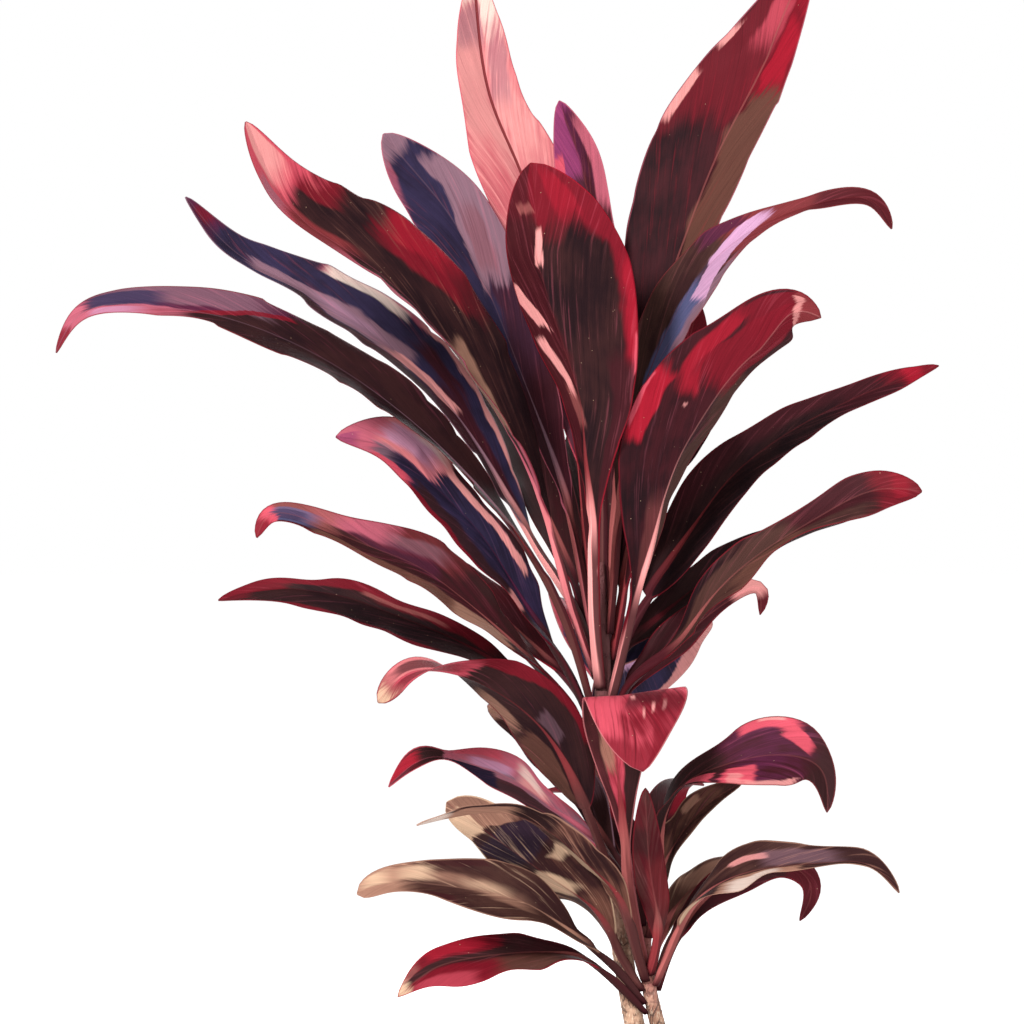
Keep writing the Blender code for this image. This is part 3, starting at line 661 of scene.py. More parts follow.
def leaf_tree():
    tree, bench = new_tree("leaf grown along its midrib", [
        ("Guide", "NodeSocketObject"), ("Section", "NodeSocketObject"), ("Rows", "NodeSocketInt"),
        ("Columns", "NodeSocketInt"), ("Finish", "NodeSocketMaterial")])
    inlet = tree.nodes.new("NodeGroupInput")
    given = {socket.name: Wire(bench, socket) for socket in inlet.outputs}
    guide = bench.add("GeometryNodeObjectInfo", {}, {"Object": given["Guide"]}, "Geometry")
    cut = bench.add("GeometryNodeObjectInfo", {}, {"Object": given["Section"]}, "Geometry")
    grid = bench.add("GeometryNodeMeshGrid", {}, {"Vertices X": given["Rows"],
                                                  "Vertices Y": given["Columns"]}, "Mesh")
    index = bench.add("GeometryNodeInputIndex", {}, {})
    row = ((index + 0.5) / given["Columns"]).sum("FLOOR")
    column = index - row * given["Columns"]

    def on_guide(name, kind="FLOAT"):
        named = bench.add("GeometryNodeInputNamedAttribute", {"data_type": kind}, {"Name": name},
                          "Attribute")
        return bench.add("GeometryNodeSampleIndex", {"data_type": kind},
                         {"Geometry": guide, "Value": named, "Index": row})

    place = bench.add("GeometryNodeInputPosition", {}, {})
    middle = bench.add("GeometryNodeSampleIndex", {"data_type": "FLOAT_VECTOR"},
                       {"Geometry": guide, "Value": place, "Index": row})
    spot = bench.add("GeometryNodeSampleIndex", {"data_type": "FLOAT_VECTOR"},
                     {"Geometry": cut, "Value": place, "Index": column})
    from_rib, up = spot.part("X"), spot.part("Y")
    alive = on_guide("alive")
    rib_place = on_guide("rib_place")
    across = from_rib + rib_place * (1 - abs(from_rib))
    right = (across * STEEP).clamp()
    rib_right = (rib_place * STEEP).clamp()
    wide = abs(across)

    def either(name, side=right):
        left_value, right_value = on_guide(name + "_left"), on_guide(name + "_right")
        return left_value + (right_value - left_value) * side

    half = either("half")
    span = across * half
    off_rib = span - rib_place * either("half", rib_right)
    rise = (on_guide("lift") * abs(from_rib) + either("wave") * wide * wide
            + either("frill") * wide ** 3)
    edge_thick = on_guide("edge_thick")
    thick = edge_thick + (on_guide("middle_thick") - edge_thick) * (1 - wide * wide)
    rib = on_guide("rib") * (0 - (off_rib * off_rib) / RIB_SPREAD).sum("EXPONENT")
    off_face = (rise + up * thick * 0.5 - rib * (0 - up).clamp() - rib * up.clamp() * RIB_ABOVE) * alive
    moved = (middle + on_guide("side", "FLOAT_VECTOR") * (span * alive)
             + on_guide("face", "FLOAT_VECTOR") * off_face) * MM
    shape = bench.add("GeometryNodeSetPosition", {}, {"Geometry": grid, "Position": moved})
    reach = on_guide("reach")
    along = (row - 1) * (ROW_SPACING * MM)
    for name, kind, value in (("true_size", "FLOAT2", bench.vector(off_rib * MM, along)),
                              ("shares", "FLOAT2", bench.vector(across, reach)),
                              ("rim", "FLOAT", (1 - wide) * half * MM),
                              ("upper", "FLOAT", up)):
        shape = with_map(bench, shape, name, kind, value)
    shape = bench.add("GeometryNodeFlipFaces", {}, {"Mesh": shape}, "Mesh")
    shape = bench.add("GeometryNodeMergeByDistance", {}, {"Geometry": shape, "Distance": MERGE_WITHIN})
    # Which way the skin faces along x; the colours use it for the painted shade on a stalk's right side.
    rightward = bench.add("GeometryNodeInputNormal", {}, {}).part("X")
    shape = with_map(bench, shape, "rightward", "FLOAT", rightward)
    shape = bench.add("GeometryNodeSetShadeSmooth", {}, {"Geometry": shape, "Shade Smooth": True})
    shape = bench.add("GeometryNodeRealizeInstances", {}, {"Geometry": shape})
    shape = bench.add("GeometryNodeSetMaterial", {}, {"Geometry": shape, "Material": given["Finish"]})
    outlet = tree.nodes.new("NodeGroupOutput")
    tree.links.new(shape.socket, outlet.inputs[0])
    return tree


LEAF_TREE = leaf_tree()
print("leaf tree has", len(LEAF_TREE.nodes), "nodes")

# %% [markdown]
# A live modifier would be lost on the way out of Blender, so each leaf is turned into a plain mesh
# as soon as its tree has run.

# %% Turn a tree's result into a plain mesh


def grown(name, tree, values):
    """An object whose mesh is what the tree makes from these inputs."""
    thing = bpy.data.objects.new(name, bpy.data.meshes.new(name))
    bpy.context.collection.objects.link(thing)
    modifier = thing.modifiers.new("grow", "NODES")
    modifier.node_group = tree
    for item in tree.interface.items_tree:
        if item.in_out == "INPUT" and item.name in values:
            modifier[item.identifier] = values[item.name]
    depsgraph = bpy.context.evaluated_depsgraph_get()
    plain = bpy.data.meshes.new_from_object(thing.evaluated_get(depsgraph), depsgraph=depsgraph,
                                            preserve_all_data_layers=True)
    thing.modifiers.clear()
    thing.data = plain
    plain.name = name
    return thing


def shell_check(thing):
    """The enclosed volume in cm3, above 0 where faces point out, and how many edges are open."""
    cage = bmesh.new()
    cage.from_mesh(thing.data)
    volume = cage.calc_volume(signed=True) * 1e6
    loose = sum(not edge.is_manifold for edge in cage.edges)
    cage.free()
    return round(volume, 1), loose

# %% [markdown]
# A ti leaf is painted by its pigments: wine red over green, which goes crimson, coral or cream where
# the green is thin. The pigments lie in streaks along fine veins that leave the midrib at a
# shallow angle, the rims are thinly lined in red, and the midrib and stalk are rosy. Four layers
# paint every leaf in that order, and each leaf gives its own colours and its own patches. Light and
# shade are painted into the same layers. Bright patches stand partly for painted sunlight on the
# blade and through it. Some dark patches stand for painted shadows of other leaves. The navy, dusk
# and slate colours stand for a painted sky reflection on shaded upper faces. The stalk's light and
# dark sides are painted sunlight and painted shade.

# %% Paints for the leaves
LEAF_LIGHT = 2.5


def paint(code, light=1.0):
    """A colour typed as a web colour, in linear light, for a surface lit that strongly."""
    parts = [int(code[i:i + 2], 16) / 255 for i in (0, 2, 4)]
    linear = [p / 12.92 if p <= 0.04045 else ((p + 0.055) / 1.055) ** 2.4 for p in parts]
    return tuple(part / light for part in linear) + (1.0,)


PAINTS = {name: paint(code, LEAF_LIGHT) for name, code in {
    "black": "261318", "night": "2b2238", "umber": "3c2021", "olive": "553630", "maroon": "5e1a23",
    "wine": "471a21", "plum": "5c2340", "dusk": "3b3252", "slate": "62658e", "crimson": "821626",
    "scarlet": "b01b30", "brick": "8c3539", "clay": "a85c59", "coral": "e4586a", "rose": "ce687b",
    "blush": "ea868a", "salmon": "f8a5a1", "cream": "ffe7d8", "mauve": "9a7382", "lilac": "e2acd2",
    "orchid": "983c6e", "bronze": "7a4f42", "tan": "b98873", "straw": "f0c8a6",
    "russet": "5f3634",
}.items()}
print(len(PAINTS), "paints")


def new_finish(name, rough, shine=0.5):
    finish = bpy.data.materials.new(name)
    finish.use_nodes = True
    bench = Bench(finish.node_tree)
    skin = finish.node_tree.nodes["Principled BSDF"]
    skin.inputs["Roughness"].default_value = rough
    skin.inputs["Specular IOR Level"].default_value = shine
    return finish, bench, skin


def feed(bench, skin, socket, wire):
    bench.tree.links.new(wire.socket, skin.inputs[socket])


def add_relief(bench, skin, strength, depth, height):
    """Bumps that the light sees and the mesh doesn't have."""
    feed(bench, skin, "Normal", bench.add("ShaderNodeBump", {}, {
        "Strength": strength, "Distance": depth, "Height": height}, "Normal"))


# %% [markdown]
# Every layer of the paint reads the same few fields: where a point lies on its leaf, and noises that
# are stretched along the veins. A vein leaves the midrib at a shallow slant and bends outwards, so
# the noises read a slanted place in place of the plain one. A `Field` keeps them together.

# %% The fields that the paint reads
VEIN_SLANT, VEIN_BEND = 0.20, 4.0
FINE_VEINS, COARSE_VEINS = 1100, 300
Field = namedtuple("Field", "across along share reach off_rib fine coarse cloud shift")


def stored(bench, name):
    """A number that the leaf's tree stored on the mesh."""
    return bench.add("ShaderNodeAttribute", {"attribute_name": name}, {}, "Fac")


def leaf_field(bench, seed):
    true_size = bench.add("ShaderNodeUVMap", {"uv_map": "true_size"}, {})
    shares = bench.add("ShaderNodeUVMap", {"uv_map": "shares"}, {})
    across, along = true_size.part("X"), true_size.part("Y")
    off_rib = abs(across)
    half = across.sum("SIGN") * 5
    vein = along * VEIN_SLANT - off_rib + off_rib * off_rib * VEIN_BEND
    shift = seed * 3.7
    fine = bench.noise(bench.vector(vein * FINE_VEINS, along * 12 + half, shift), 1.0, 3.0, 0.6)
    coarse = bench.noise(bench.vector(vein * COARSE_VEINS, along * 9 + half, shift + 9), 1.0, 4.0, 0.65)
    cloud = bench.noise(bench.vector(across * 26, along * 13, shift + 20), 1.0, 3.0, 0.6)
    return Field(across, along, shares.part("X"), shares.part("Y"), off_rib, fine, coarse, cloud, shift)


print("a field has", len(Field._fields), "parts")

# %% [markdown]
# A patch is a region of a leaf where the colour changes. The change is partly pigment and partly
# painted sunlight, painted shadow and painted sky reflection. It is given in shares, from 0 at the
# foot to 1 at the tip and from -1 to 1 across. It may lean, which means that it drifts across as it
# goes along. Its border wanders and frays along the veins, and less for a small patch, so that a
# fleck stays whole. A look writes its patches as a table, one patch a line.

# %% Pigments and patches, with painted sunlight and shade
REACH_SWAY, REACH_FRAY = 0.12, 0.10
SHARE_SWAY, SHARE_FRAY = 0.75, 0.24
Patch = namedtuple("Patch", "start end left right colour soft strength lean",
                   defaults=(0.03, 0.9, 0.0))
Look = namedtuple("Look", "body deep rim rib stalk patches streak streaks rib_strength",
                  defaults=((), "rose", 0.12, 0.2))


def patches(table):
    """A line is start, end, left, right and colour, then softness, strength and lean if they differ."""
    rows = [line.split() for line in table.strip().splitlines()]
    return tuple(Patch(*map(float, row[:4]), row[4], *map(float, row[5:])) for row in rows)


def between(value, low, high, soft):
    return value.rises(low - soft, low + soft) * value.falls(high - soft, high + soft)


def pigments_and_painted_light(bench, look, field, stalk_share):
    mottle = (field.cloud * 0.6 + field.coarse * 0.4).rises(0.40, 0.62)
    colour = bench.blend(mottle, PAINTS[look.body], PAINTS[look.deep])
    fray = (field.coarse - 0.5) * 0.7 + (field.fine - 0.5) * 0.3
    drift = bench.noise(bench.vector(field.across * 22, field.along * 15, field.shift + 40),
                        1.0, 2.0, 0.5, out="Color")
    reach_shift = (drift.part("X") - 0.5) * REACH_SWAY + fray * REACH_FRAY
    share_shift = (drift.part("Y") - 0.5) * SHARE_SWAY + fray * SHARE_FRAY
    for patch in look.patches:
        loose = min(1.0, 0.3 + (patch.end - patch.start) * 3.5)
        sway = loose * min(1.0, 0.4 + (patch.right - patch.left) * 1.2)
        lean = (field.reach - (patch.start + patch.end) / 2) * patch.lean
        lengthwise = field.reach + reach_shift * loose
        crosswise = field.share + share_shift * sway - lean
        mask = (between(lengthwise, patch.start, patch.end, patch.soft * 0.8)
                * between(crosswise, patch.left, patch.right, patch.soft * 2.0))
        colour = bench.blend(mask * patch.strength, colour, PAINTS[patch.colour])
    # The pale streaks are partly veins; on the bronze leaves their straw colour also stands for a painted
    # sheen.
    streak = (field.coarse.rises(0.54, 0.64) * field.fine.rises(0.40, 0.55)
              * field.reach.rises(stalk_share, 0.6))
    return bench.blend(streak * look.streaks, colour, PAINTS[look.streak])


print("a patch has", len(Patch._fields), "numbers and names")

# %% [markdown]
# Light and dark veins run through the pigments, and a thin line of the rim's colour follows both
# margins. Where a vein noise is high or low, the colour so far is mixed with itself times a tint.

# %% Veins and rim
PALE_VEIN = (1.7, 1.45, 1.5, 1.0)
DARK_VEIN = (0.55, 0.45, 0.5, 1.0)
RIM_WIDTH, RIM_SPREAD = 0.0007, 0.0022


def tinted(bench, colour, tint):
    return bench.blend(1.0, colour, tint, "MULTIPLY")


def veins_and_rim(bench, colour, look, field):
    pale = field.coarse.rises(0.5, 0.72) * 0.30 + field.fine.rises(0.5, 0.75) * 0.30
    colour = bench.blend(pale, colour, tinted(bench, colour, PALE_VEIN))
    dark = field.fine.falls(0.30, 0.47) * 0.45 + field.coarse.falls(0.28, 0.45) * 0.30
    colour = bench.blend(dark, colour, tinted(bench, colour, DARK_VEIN))
    rim = (stored(bench, "rim") / (RIM_WIDTH + field.cloud * RIM_SPREAD)).falls(0.3, 1.0)
    return bench.blend(rim * 0.75, colour, PAINTS[look.rim])


print("the rim's line is up to", round((RIM_WIDTH + RIM_SPREAD) * 1000, 1), "mm wide")

# %% [markdown]
# The stalk runs on into the blade as a rosy wedge, which narrows to the midrib. A stalk is round,
# and its neighbours shade it, so light and shade are painted on it. The stalk is brightened as
# painted sunlight. Its lengthwise streaks and the wedge's sides are darkened as painted shade. Its
# right side and its foot go wine red as painted shade.

# %% Midrib and stalk
RIB_WIDTH, RIB_GAIN, WEDGE_WIDTH = 0.0007, 0.0012, 0.0062
# LIT_STALK tints the stalk for painted sunlight; the next tint darkens it for painted shade.
LIT_STALK = (1.7, 1.65, 1.65, 1.0)
STALK_SHADE_TINT = (0.45, 0.30, 0.34, 1.0)
# How strong the painted right-side shade is, on the head's stalks and on the shoot's.
HEAD_SHADE, SHOOT_SHADE = 0.92, 0.5


def rib_widths(look, field, stalk_share):
    """How far a point is from the midrib, in widths of the wedge there."""
    wedge = field.reach.falls(stalk_share * 0.9, stalk_share + 0.25) * WEDGE_WIDTH
    return field.off_rib / (wedge + (RIB_WIDTH + RIB_GAIN * look.rib_strength))


def midrib_and_stalk(bench, colour, look, field, stalk_share, shade, widths):
    reach = field.reach
    rosy = bench.blend(reach.rises(stalk_share, stalk_share + 0.15), PAINTS[look.stalk], PAINTS[look.rib])
    # Painted sunlight: the stalk and the start of the wedge are brightened.
    rosy = bench.blend(reach.falls(stalk_share, stalk_share + 0.25), rosy, tinted(bench, rosy, LIT_STALK))
    # Painted shade: dark lengthwise streaks on the stalk, and darker towards the wedge's sides.
    streaky_shade = bench.noise(bench.vector(field.across * 420, field.along * 6, field.shift + 30), 1.0, 2.0)
    dull = streaky_shade.falls(0.36, 0.52) * 0.25 + widths.rises(0.45, 0.98) * 0.4
    rosy = bench.blend(dull, rosy, tinted(bench, rosy, STALK_SHADE_TINT))
    on_stalk = reach.falls(stalk_share * 0.85, stalk_share + 0.08)
    # Painted shade on the stalk's right side, where its skin faces right.
    right_shade = stored(bench, "rightward").rises(-0.15, 0.12)
    rosy = bench.blend(right_shade * on_stalk * shade, rosy, PAINTS["wine"])
    clear = (look.rib_strength
             + reach.falls(stalk_share + 0.08, stalk_share + 0.38) * (0.97 - look.rib_strength))
    colour = bench.blend(widths.falls(0.72, 1.0) * clear, colour, rosy)
    # Painted shade at the foot, where the stalk meets its stem.
    return bench.blend(reach.falls(0.0, 0.05) * 0.85, colour, PAINTS["wine"])


print("the wedge starts", round((RIB_WIDTH + WEDGE_WIDTH) * 1000, 1), "mm wide each way")

# %% [markdown]
# The finish puts the layers over one another and adds a few pale specks. The same noises lift the
# veins a little, and the lower face is slightly rougher than the upper one.

# %% A leaf's whole finish


def leaf_finish(name, look, stalk_share, seed):
    finish, bench, skin = new_finish(name, 0.55, 0.04)
    field = leaf_field(bench, seed)
    widths = rib_widths(look, field, stalk_share)
    shade = HEAD_SHADE if "head" in name else SHOOT_SHADE
    colour = pigments_and_painted_light(bench, look, field, stalk_share)
    colour = veins_and_rim(bench, colour, look, field)
    colour = midrib_and_stalk(bench, colour, look, field, stalk_share, shade, widths)
    dotted = bench.vector(field.across * 120, field.along * 120, field.shift)
    dots = bench.add("ShaderNodeTexVoronoi", {"feature": "F1"}, {"Vector": dotted, "Scale": 1.0},
                     "Distance")
    speck = dots.falls(0.03, 0.07) * field.cloud.rises(0.5, 0.6) * 0.6
    feed(bench, skin, "Base Color", bench.blend(speck, colour, PAINTS["straw"]))
    lower = stored(bench, "upper").falls(-0.2, 0.2)
    feed(bench, skin, "Roughness", 0.50 + field.cloud * 0.16 + lower * 0.08)
    ripples = field.fine * 0.5 + field.coarse * 1.0 + field.cloud * 1.5 + widths.falls(0.72, 1.0) * 0.6
    add_relief(bench, skin, 0.4, 0.0010, ripples)
    return finish


print("leaf paint ready")

# %% [markdown]
# The looks follow the leaves one by one: head leaves first, then the side shoot's. A leaf without a
# look of its own takes that of its tone.

# %% The look of each leaf in the head
LOOKS = {
    "maroon": Look("wine", "umber", "crimson", "clay", "wine", patches("""
        0.62 0.8 0.3 1.2 crimson
        0.86 1.1 -1.2 1.2 crimson 0.05""")),
    "red": Look("maroon", "wine", "scarlet", "clay", "wine", patches("""
        0.55 0.8 -1.2 0.1 crimson 0.05
        0.85 1.1 -1.2 1.2 scarlet 0.05""")),
    "bronze": Look("bronze", "umber", "tan", "clay", "clay", patches("""
        0.5 0.75 -0.8 0 tan 0.06 0.7
        0.82 1.1 -1.2 1.2 straw 0.05"""), "straw", 0.4),
    # The pink of the blade and the cream towards the tip stand partly for painted sunlight and sheen on
    # the upper face, and the plum lower blade is painted shade.
    "head_leaf_tall_left": Look("blush", "salmon", "coral", "brick", "brick", patches("""
        -0.1 0.52 -1.2 1.2 plum 0.1
        0.6 0.78 -1.2 -0.3 coral 0.05 0.45
        0.56 0.66 0 0.6 mauve 0.04 0.35 2
        0.72 0.9 -0.9 0 salmon 0.05 0.8
        0.7 0.84 0.2 0.8 salmon 0.05 0.6
        0.8 0.9 0.2 0.8 mauve 0.03 0.45 2
        0.885 0.945 -0.9 0.2 mauve 0.02 0.5
        0.9 1.1 0.25 1.2 cream
        0.955 1.1 -1.2 1.2 cream 0.02"""), "salmon", 0.6, 0.97),
    "head_leaf_small_upper": Look("plum", "wine", "rose", "brick", "russet", patches("""
        0.85 1.05 -1.2 0 orchid
        0.76 0.93 0.45 1.2 rose
        0.86 0.89 -1 -0.6 coral 0.01
        0.96 1.1 -1.2 1.2 orchid 0.02""")),
    # The dark wine and black lower blade is partly painted shade, and the crimson and scarlet towards the
    # tip are partly painted sunlight shining through the blade.
    "head_leaf_upper_right": Look("wine", "black", "rose", "clay", "clay", patches("""
        0.25 0.8 0.36 1.2 bronze 0.03 0.75
        0.7 0.98 -0.95 0.33 crimson 0.04 0.6
        0.78 1.1 0.3 1.2 crimson 0.02
        0.79 0.9 0.45 0.95 scarlet 0.02
        0.86 1.1 -0.3 0.35 coral 0.04 0.6
        0.71 0.78 -1 -0.8 salmon 0.01
        0.82 0.86 -1 -0.8 salmon 0.01
        0.93 1.1 -1.2 1.2 scarlet 0.03 0.6"""), "crimson", 0.35, 0.5),
    "head_leaf_arching_right": Look("umber", "olive", "brick", "brick", "clay", patches("""
        0.38 0.64 -0.1 0.75 slate 0.03 1
        0.5 0.74 0.62 1.2 mauve 0.03 0.8
        0.7 0.86 -1.2 1.2 brick
        0.66 0.75 -1.2 -0.55 plum 0.02
        0.6 0.77 -0.28 0.38 lilac 0.015 1 -6
        0.85 1.1 -1.2 1.2 maroon""")),
    # The crimson and scarlet bands along the margins and tip stand partly for painted sunlight shining
    # through the blade.
    "head_leaf_front": Look("black", "umber", "scarlet", "brick", "salmon", patches("""
        0.3 0.62 -1.2 -0.45 wine
        0.45 0.9 0.42 1.2 maroon 0.03 0.5
        0.6 0.9 -1.2 -0.74 crimson 0.03 1 0.7
        0.62 0.8 -1.1 -0.84 scarlet 0.02 0.7
        0.86 1.1 -1.2 0.35 crimson 0.04 0.9
        0.88 0.98 -0.7 -0.2 scarlet 0.03 0.5
        0.9 1.1 0.32 1.2 maroon
        0.81 0.88 0.27 0.4 salmon 0.008 1 -2
        0.915 0.935 0.3 0.7 clay 0.008 0.7 6
        0.7 0.77 0.74 0.96 salmon 0.008 1 4
        0.57 0.68 0.62 0.8 salmon 0.01 1 3
        0.58 0.66 -1.2 -0.93 coral 0.01
        0.5 0.58 0.35 0.62 clay 0.02 0.6 3"""), "rose", 0.12, 0.12),
    "head_leaf_red_right": Look("wine", "black", "crimson", "salmon", "salmon", patches("""
        0.26 0.44 -0.5 0.2 clay 0.05 0.25 -3
        0.33 0.78 -1.2 -0.6 olive
        0.55 0.68 0.42 0.95 scarlet 0.02 1
        0.68 0.85 0.15 0.7 scarlet 0.03 0.8 3.5
        0.72 0.97 -0.78 0.2 crimson
        0.57 0.66 0.88 1.2 coral 0.01
        0.84 0.96 -0.4 0.9 crimson 0.03 0.8
        0.78 0.9 -1.2 -0.82 umber 0.02
        0.636 0.645 -0.14 -0.06 salmon 0.006 0.6
        0.955 1.1 -1.2 1.2 brick 0.01
        0.945 0.96 -1.2 0.7 salmon 0.005 0.7""")),
    "head_leaf_behind_red": Look("wine", "umber", "crimson", "clay", "brick", patches("""
        0.6 0.9 -1 0.4 crimson 0.06 0.7""")),
    "head_leaf_long_right": Look("black", "umber", "crimson", "brick", "wine", patches("""
        0.4 0.8 -1.2 -0.5 wine 0.08 0.8
        0.78 0.93 -1.2 1.2 wine 0.05
        0.9 1.1 -1.2 1.2 crimson 0.02
        0.925 0.965 -0.9 1.2 scarlet 0.015""")),
    "head_leaf_low_right": Look("umber", "olive", "crimson", "clay", "wine", patches("""
        0.2 0.7 -0.6 0.5 olive 0.06
        0.28 0.5 -1.2 -0.6 black 0.04
        0.48 0.7 0.3 1.2 bronze 0.05 0.6
        0.68 0.9 -1.2 0.4 wine 0.05
        0.88 1.1 -1.2 1.2 crimson 0.03 0.75
        0.93 0.97 -1.2 0.6 scarlet 0.015 0.4""")),
    "head_leaf_curled_right": Look("wine", "umber", "crimson", "clay", "wine", patches("""
        0.8 1.1 -1.2 1.2 maroon 0.05
        0.8 0.93 -1.2 1.2 salmon 0.03 0.8""")),
    # The mauve patch near the tip is painted shade.
    "head_leaf_upper_left": Look("black", "umber", "crimson", "rose", "blush", patches("""
        0.18 0.86 -1.2 -0.8 rose 0.02 0.9
        0.41 0.55 -0.85 -0.35 tan 0.02 0.7 2
        0.58 0.74 0.1 1.2 crimson 0.03 1 -1.5
        0.61 0.73 0.4 1.2 scarlet 0.03 0.6 -1.5
        0.55 0.62 0.5 0.9 maroon 0.03 0.7
        0.77 0.91 -1.2 -0.45 brick 0.03
        0.82 0.94 0.2 1.2 crimson 0.03 0.8
        0.875 1.1 -1.2 1.2 coral
        0.91 1.1 -0.5 0.7 salmon 0.04
        0.88 0.93 -1.2 -0.6 mauve 0.02 0.6"""), "tan", 0.12),
    # The dusk and night body is painted shade with a painted sky reflection, and the broad mauve patch is
    # painted sunlight on the upper face.
    "head_leaf_navy_left": Look("dusk", "night", "rose", "mauve", "clay", patches("""
        -0.1 0.5 -1.2 1.2 wine 0.06
        0.45 0.68 0 1.2 wine 0.05 0.7
        0.66 0.91 0.02 1.7 mauve 0.02 0.95 2.4
        0.68 0.8 0.1 0.6 brick 0.03 0.35 2.4
        0.88 1.1 -1.2 -0.75 rose 0.03 0.6
        0.965 1.1 -1.2 1.2 mauve 0.02""")),
    # The dusk and night body is painted shade with a painted sky reflection; the mauve, lilac and salmon
    # patches stand for painted sunlight, and the curved salmon patch is a painted highlight.
    "head_leaf_narrow_left": Look("dusk", "night", "mauve", "mauve", "salmon", patches("""
        0.56 0.75 0.8 1.2 rose 0.03 0.8
        0.62 0.74 0.66 0.95 cream 0.02 0.8 1
        0.2 0.48 -1.2 0.3 wine 0.05
        0.44 0.76 -1.2 -0.72 umber 0.03
        0.54 0.85 -0.68 0.03 mauve 0.02
        0.61 0.72 -0.5 -0.1 lilac 0.04 0.2
        0.44 0.58 -0.55 -0.2 salmon 0.015 0.9 -2
        0.28 0.58 0.8 1.2 salmon 0.02
        0.45 0.56 0.15 0.55 wine 0.03
        0.94 1.1 -1.2 1.2 plum 0.02
        0.95 0.98 -0.5 1.2 crimson 0.01 0.7""")),
    "head_leaf_long_left": Look("umber", "black", "brick", "mauve", "russet", patches("""
        0.66 1.1 -0.84 20 plum 0.02 0.9 -7
        0.7 0.9 0.1 1.2 mauve 0.04 0.5
        0.66 0.9 -0.26 -0.06 crimson 0.01 0.9 -7
        0.84 0.92 -0.2 0.75 dusk 0.02
        0.82 1.1 -1.2 -0.15 rose
        0.86 0.93 -0.9 -0.3 lilac 0.03 0.5
        0.92 1.1 -1.2 1.2 rose 0.015
        0.965 1.1 -1.2 1.2 crimson 0.01""")),
    # The night and dusk body is painted shade with a painted sky reflection, and the cream patch is a
    # painted highlight.
    "head_leaf_mid_left": Look("night", "dusk", "crimson", "plum", "umber", patches("""
        0.25 0.76 -1.2 -0.42 umber 0.04
        0.42 0.8 -1.2 -0.88 crimson 0.015
        0.345 0.4 -0.95 -0.4 salmon 0.012
        0.42 0.77 0.84 1.2 umber 0.02
        0.4 0.77 0.6 0.84 salmon 0.015 1 0.2
        0.73 0.96 0.1 1.2 blush 0.02 1
        0.76 0.9 0.3 0.8 lilac 0.04 0.7
        0.74 0.82 0.7 1.2 cream 0.03 0.5
        0.73 0.8 0.15 0.45 plum 0.02 0.5 3
        0.84 0.93 -0.7 0.15 mauve 0.03 0.7
        0.78 0.9 -1.2 -0.6 coral 0.02
        0.89 1.1 -1.2 1.2 rose 0.03 1
        0.95 1.1 -0.9 0.4 orchid 0.02 0.6""")),
    "head_leaf_low_left": Look("umber", "wine", "crimson", "clay", "umber", patches("""
        0.33 0.52 -1.2 -0.45 tan 0.02 0.8 -1.5
        0.5 0.82 -1.2 -0.6 bronze 0.02 0.8
        0.5 0.72 0.1 1.2 brick 0.04 0.5
        0.54 0.7 0.2 0.7 mauve 0.04 0.4
        0.55 0.8 -0.1 0.4 plum 0.03 0.5 2
        0.68 0.86 0.2 1.2 rose 0.05 0.8
        0.8 1.1 -0.5 1.2 clay 0.03 0.7
        0.84 0.94 -0.8 0.5 slate 0.03 0.7
        0.86 0.93 -0.6 0.3 dusk 0.02 0.7
        0.925 1.1 -1.2 1.2 coral 0.01
        0.95 1.1 -1.2 1.2 crimson 0.015""")),
    "head_leaf_lowest_left": Look("umber", "black", "crimson", "maroon", "umber", patches("""
        0.34 0.62 0.4 1.2 crimson 0.04 0.8
        0.6 0.9 0.58 1.2 crimson 0.03
        0.86 1.1 0.1 1.2 crimson 0.03 0.8
        0.925 1.1 -0.7 1.2 crimson 0.02 0.6
        0.46 0.66 0.5 0.68 clay 0.02 0.8
        0.45 0.95 -1.2 -0.9 crimson 0.02 0.7""")),
    "head_leaf_back_low_right": Look("umber", "black", "maroon", "maroon", "umber", ()),
    "head_leaf_back_drooping": Look("night", "dusk", "salmon", "mauve", "wine", patches("""
        0.45 0.64 -0.6 0.6 blush 0.03
        0.62 0.7 -0.6 0.6 dusk 0.01 1
        0.7 0.84 -0.35 0.45 lilac 0.02 0.9
        0.3 1.1 -1.2 -0.88 coral 0.02
        0.3 1.1 0.9 1.2 salmon 0.02""")),
}
print(sum(name.startswith("head_leaf") for name in LOOKS), "head leaves have a look of their own")

# %% [markdown]
# The side shoot's leaves get their looks in the same way.

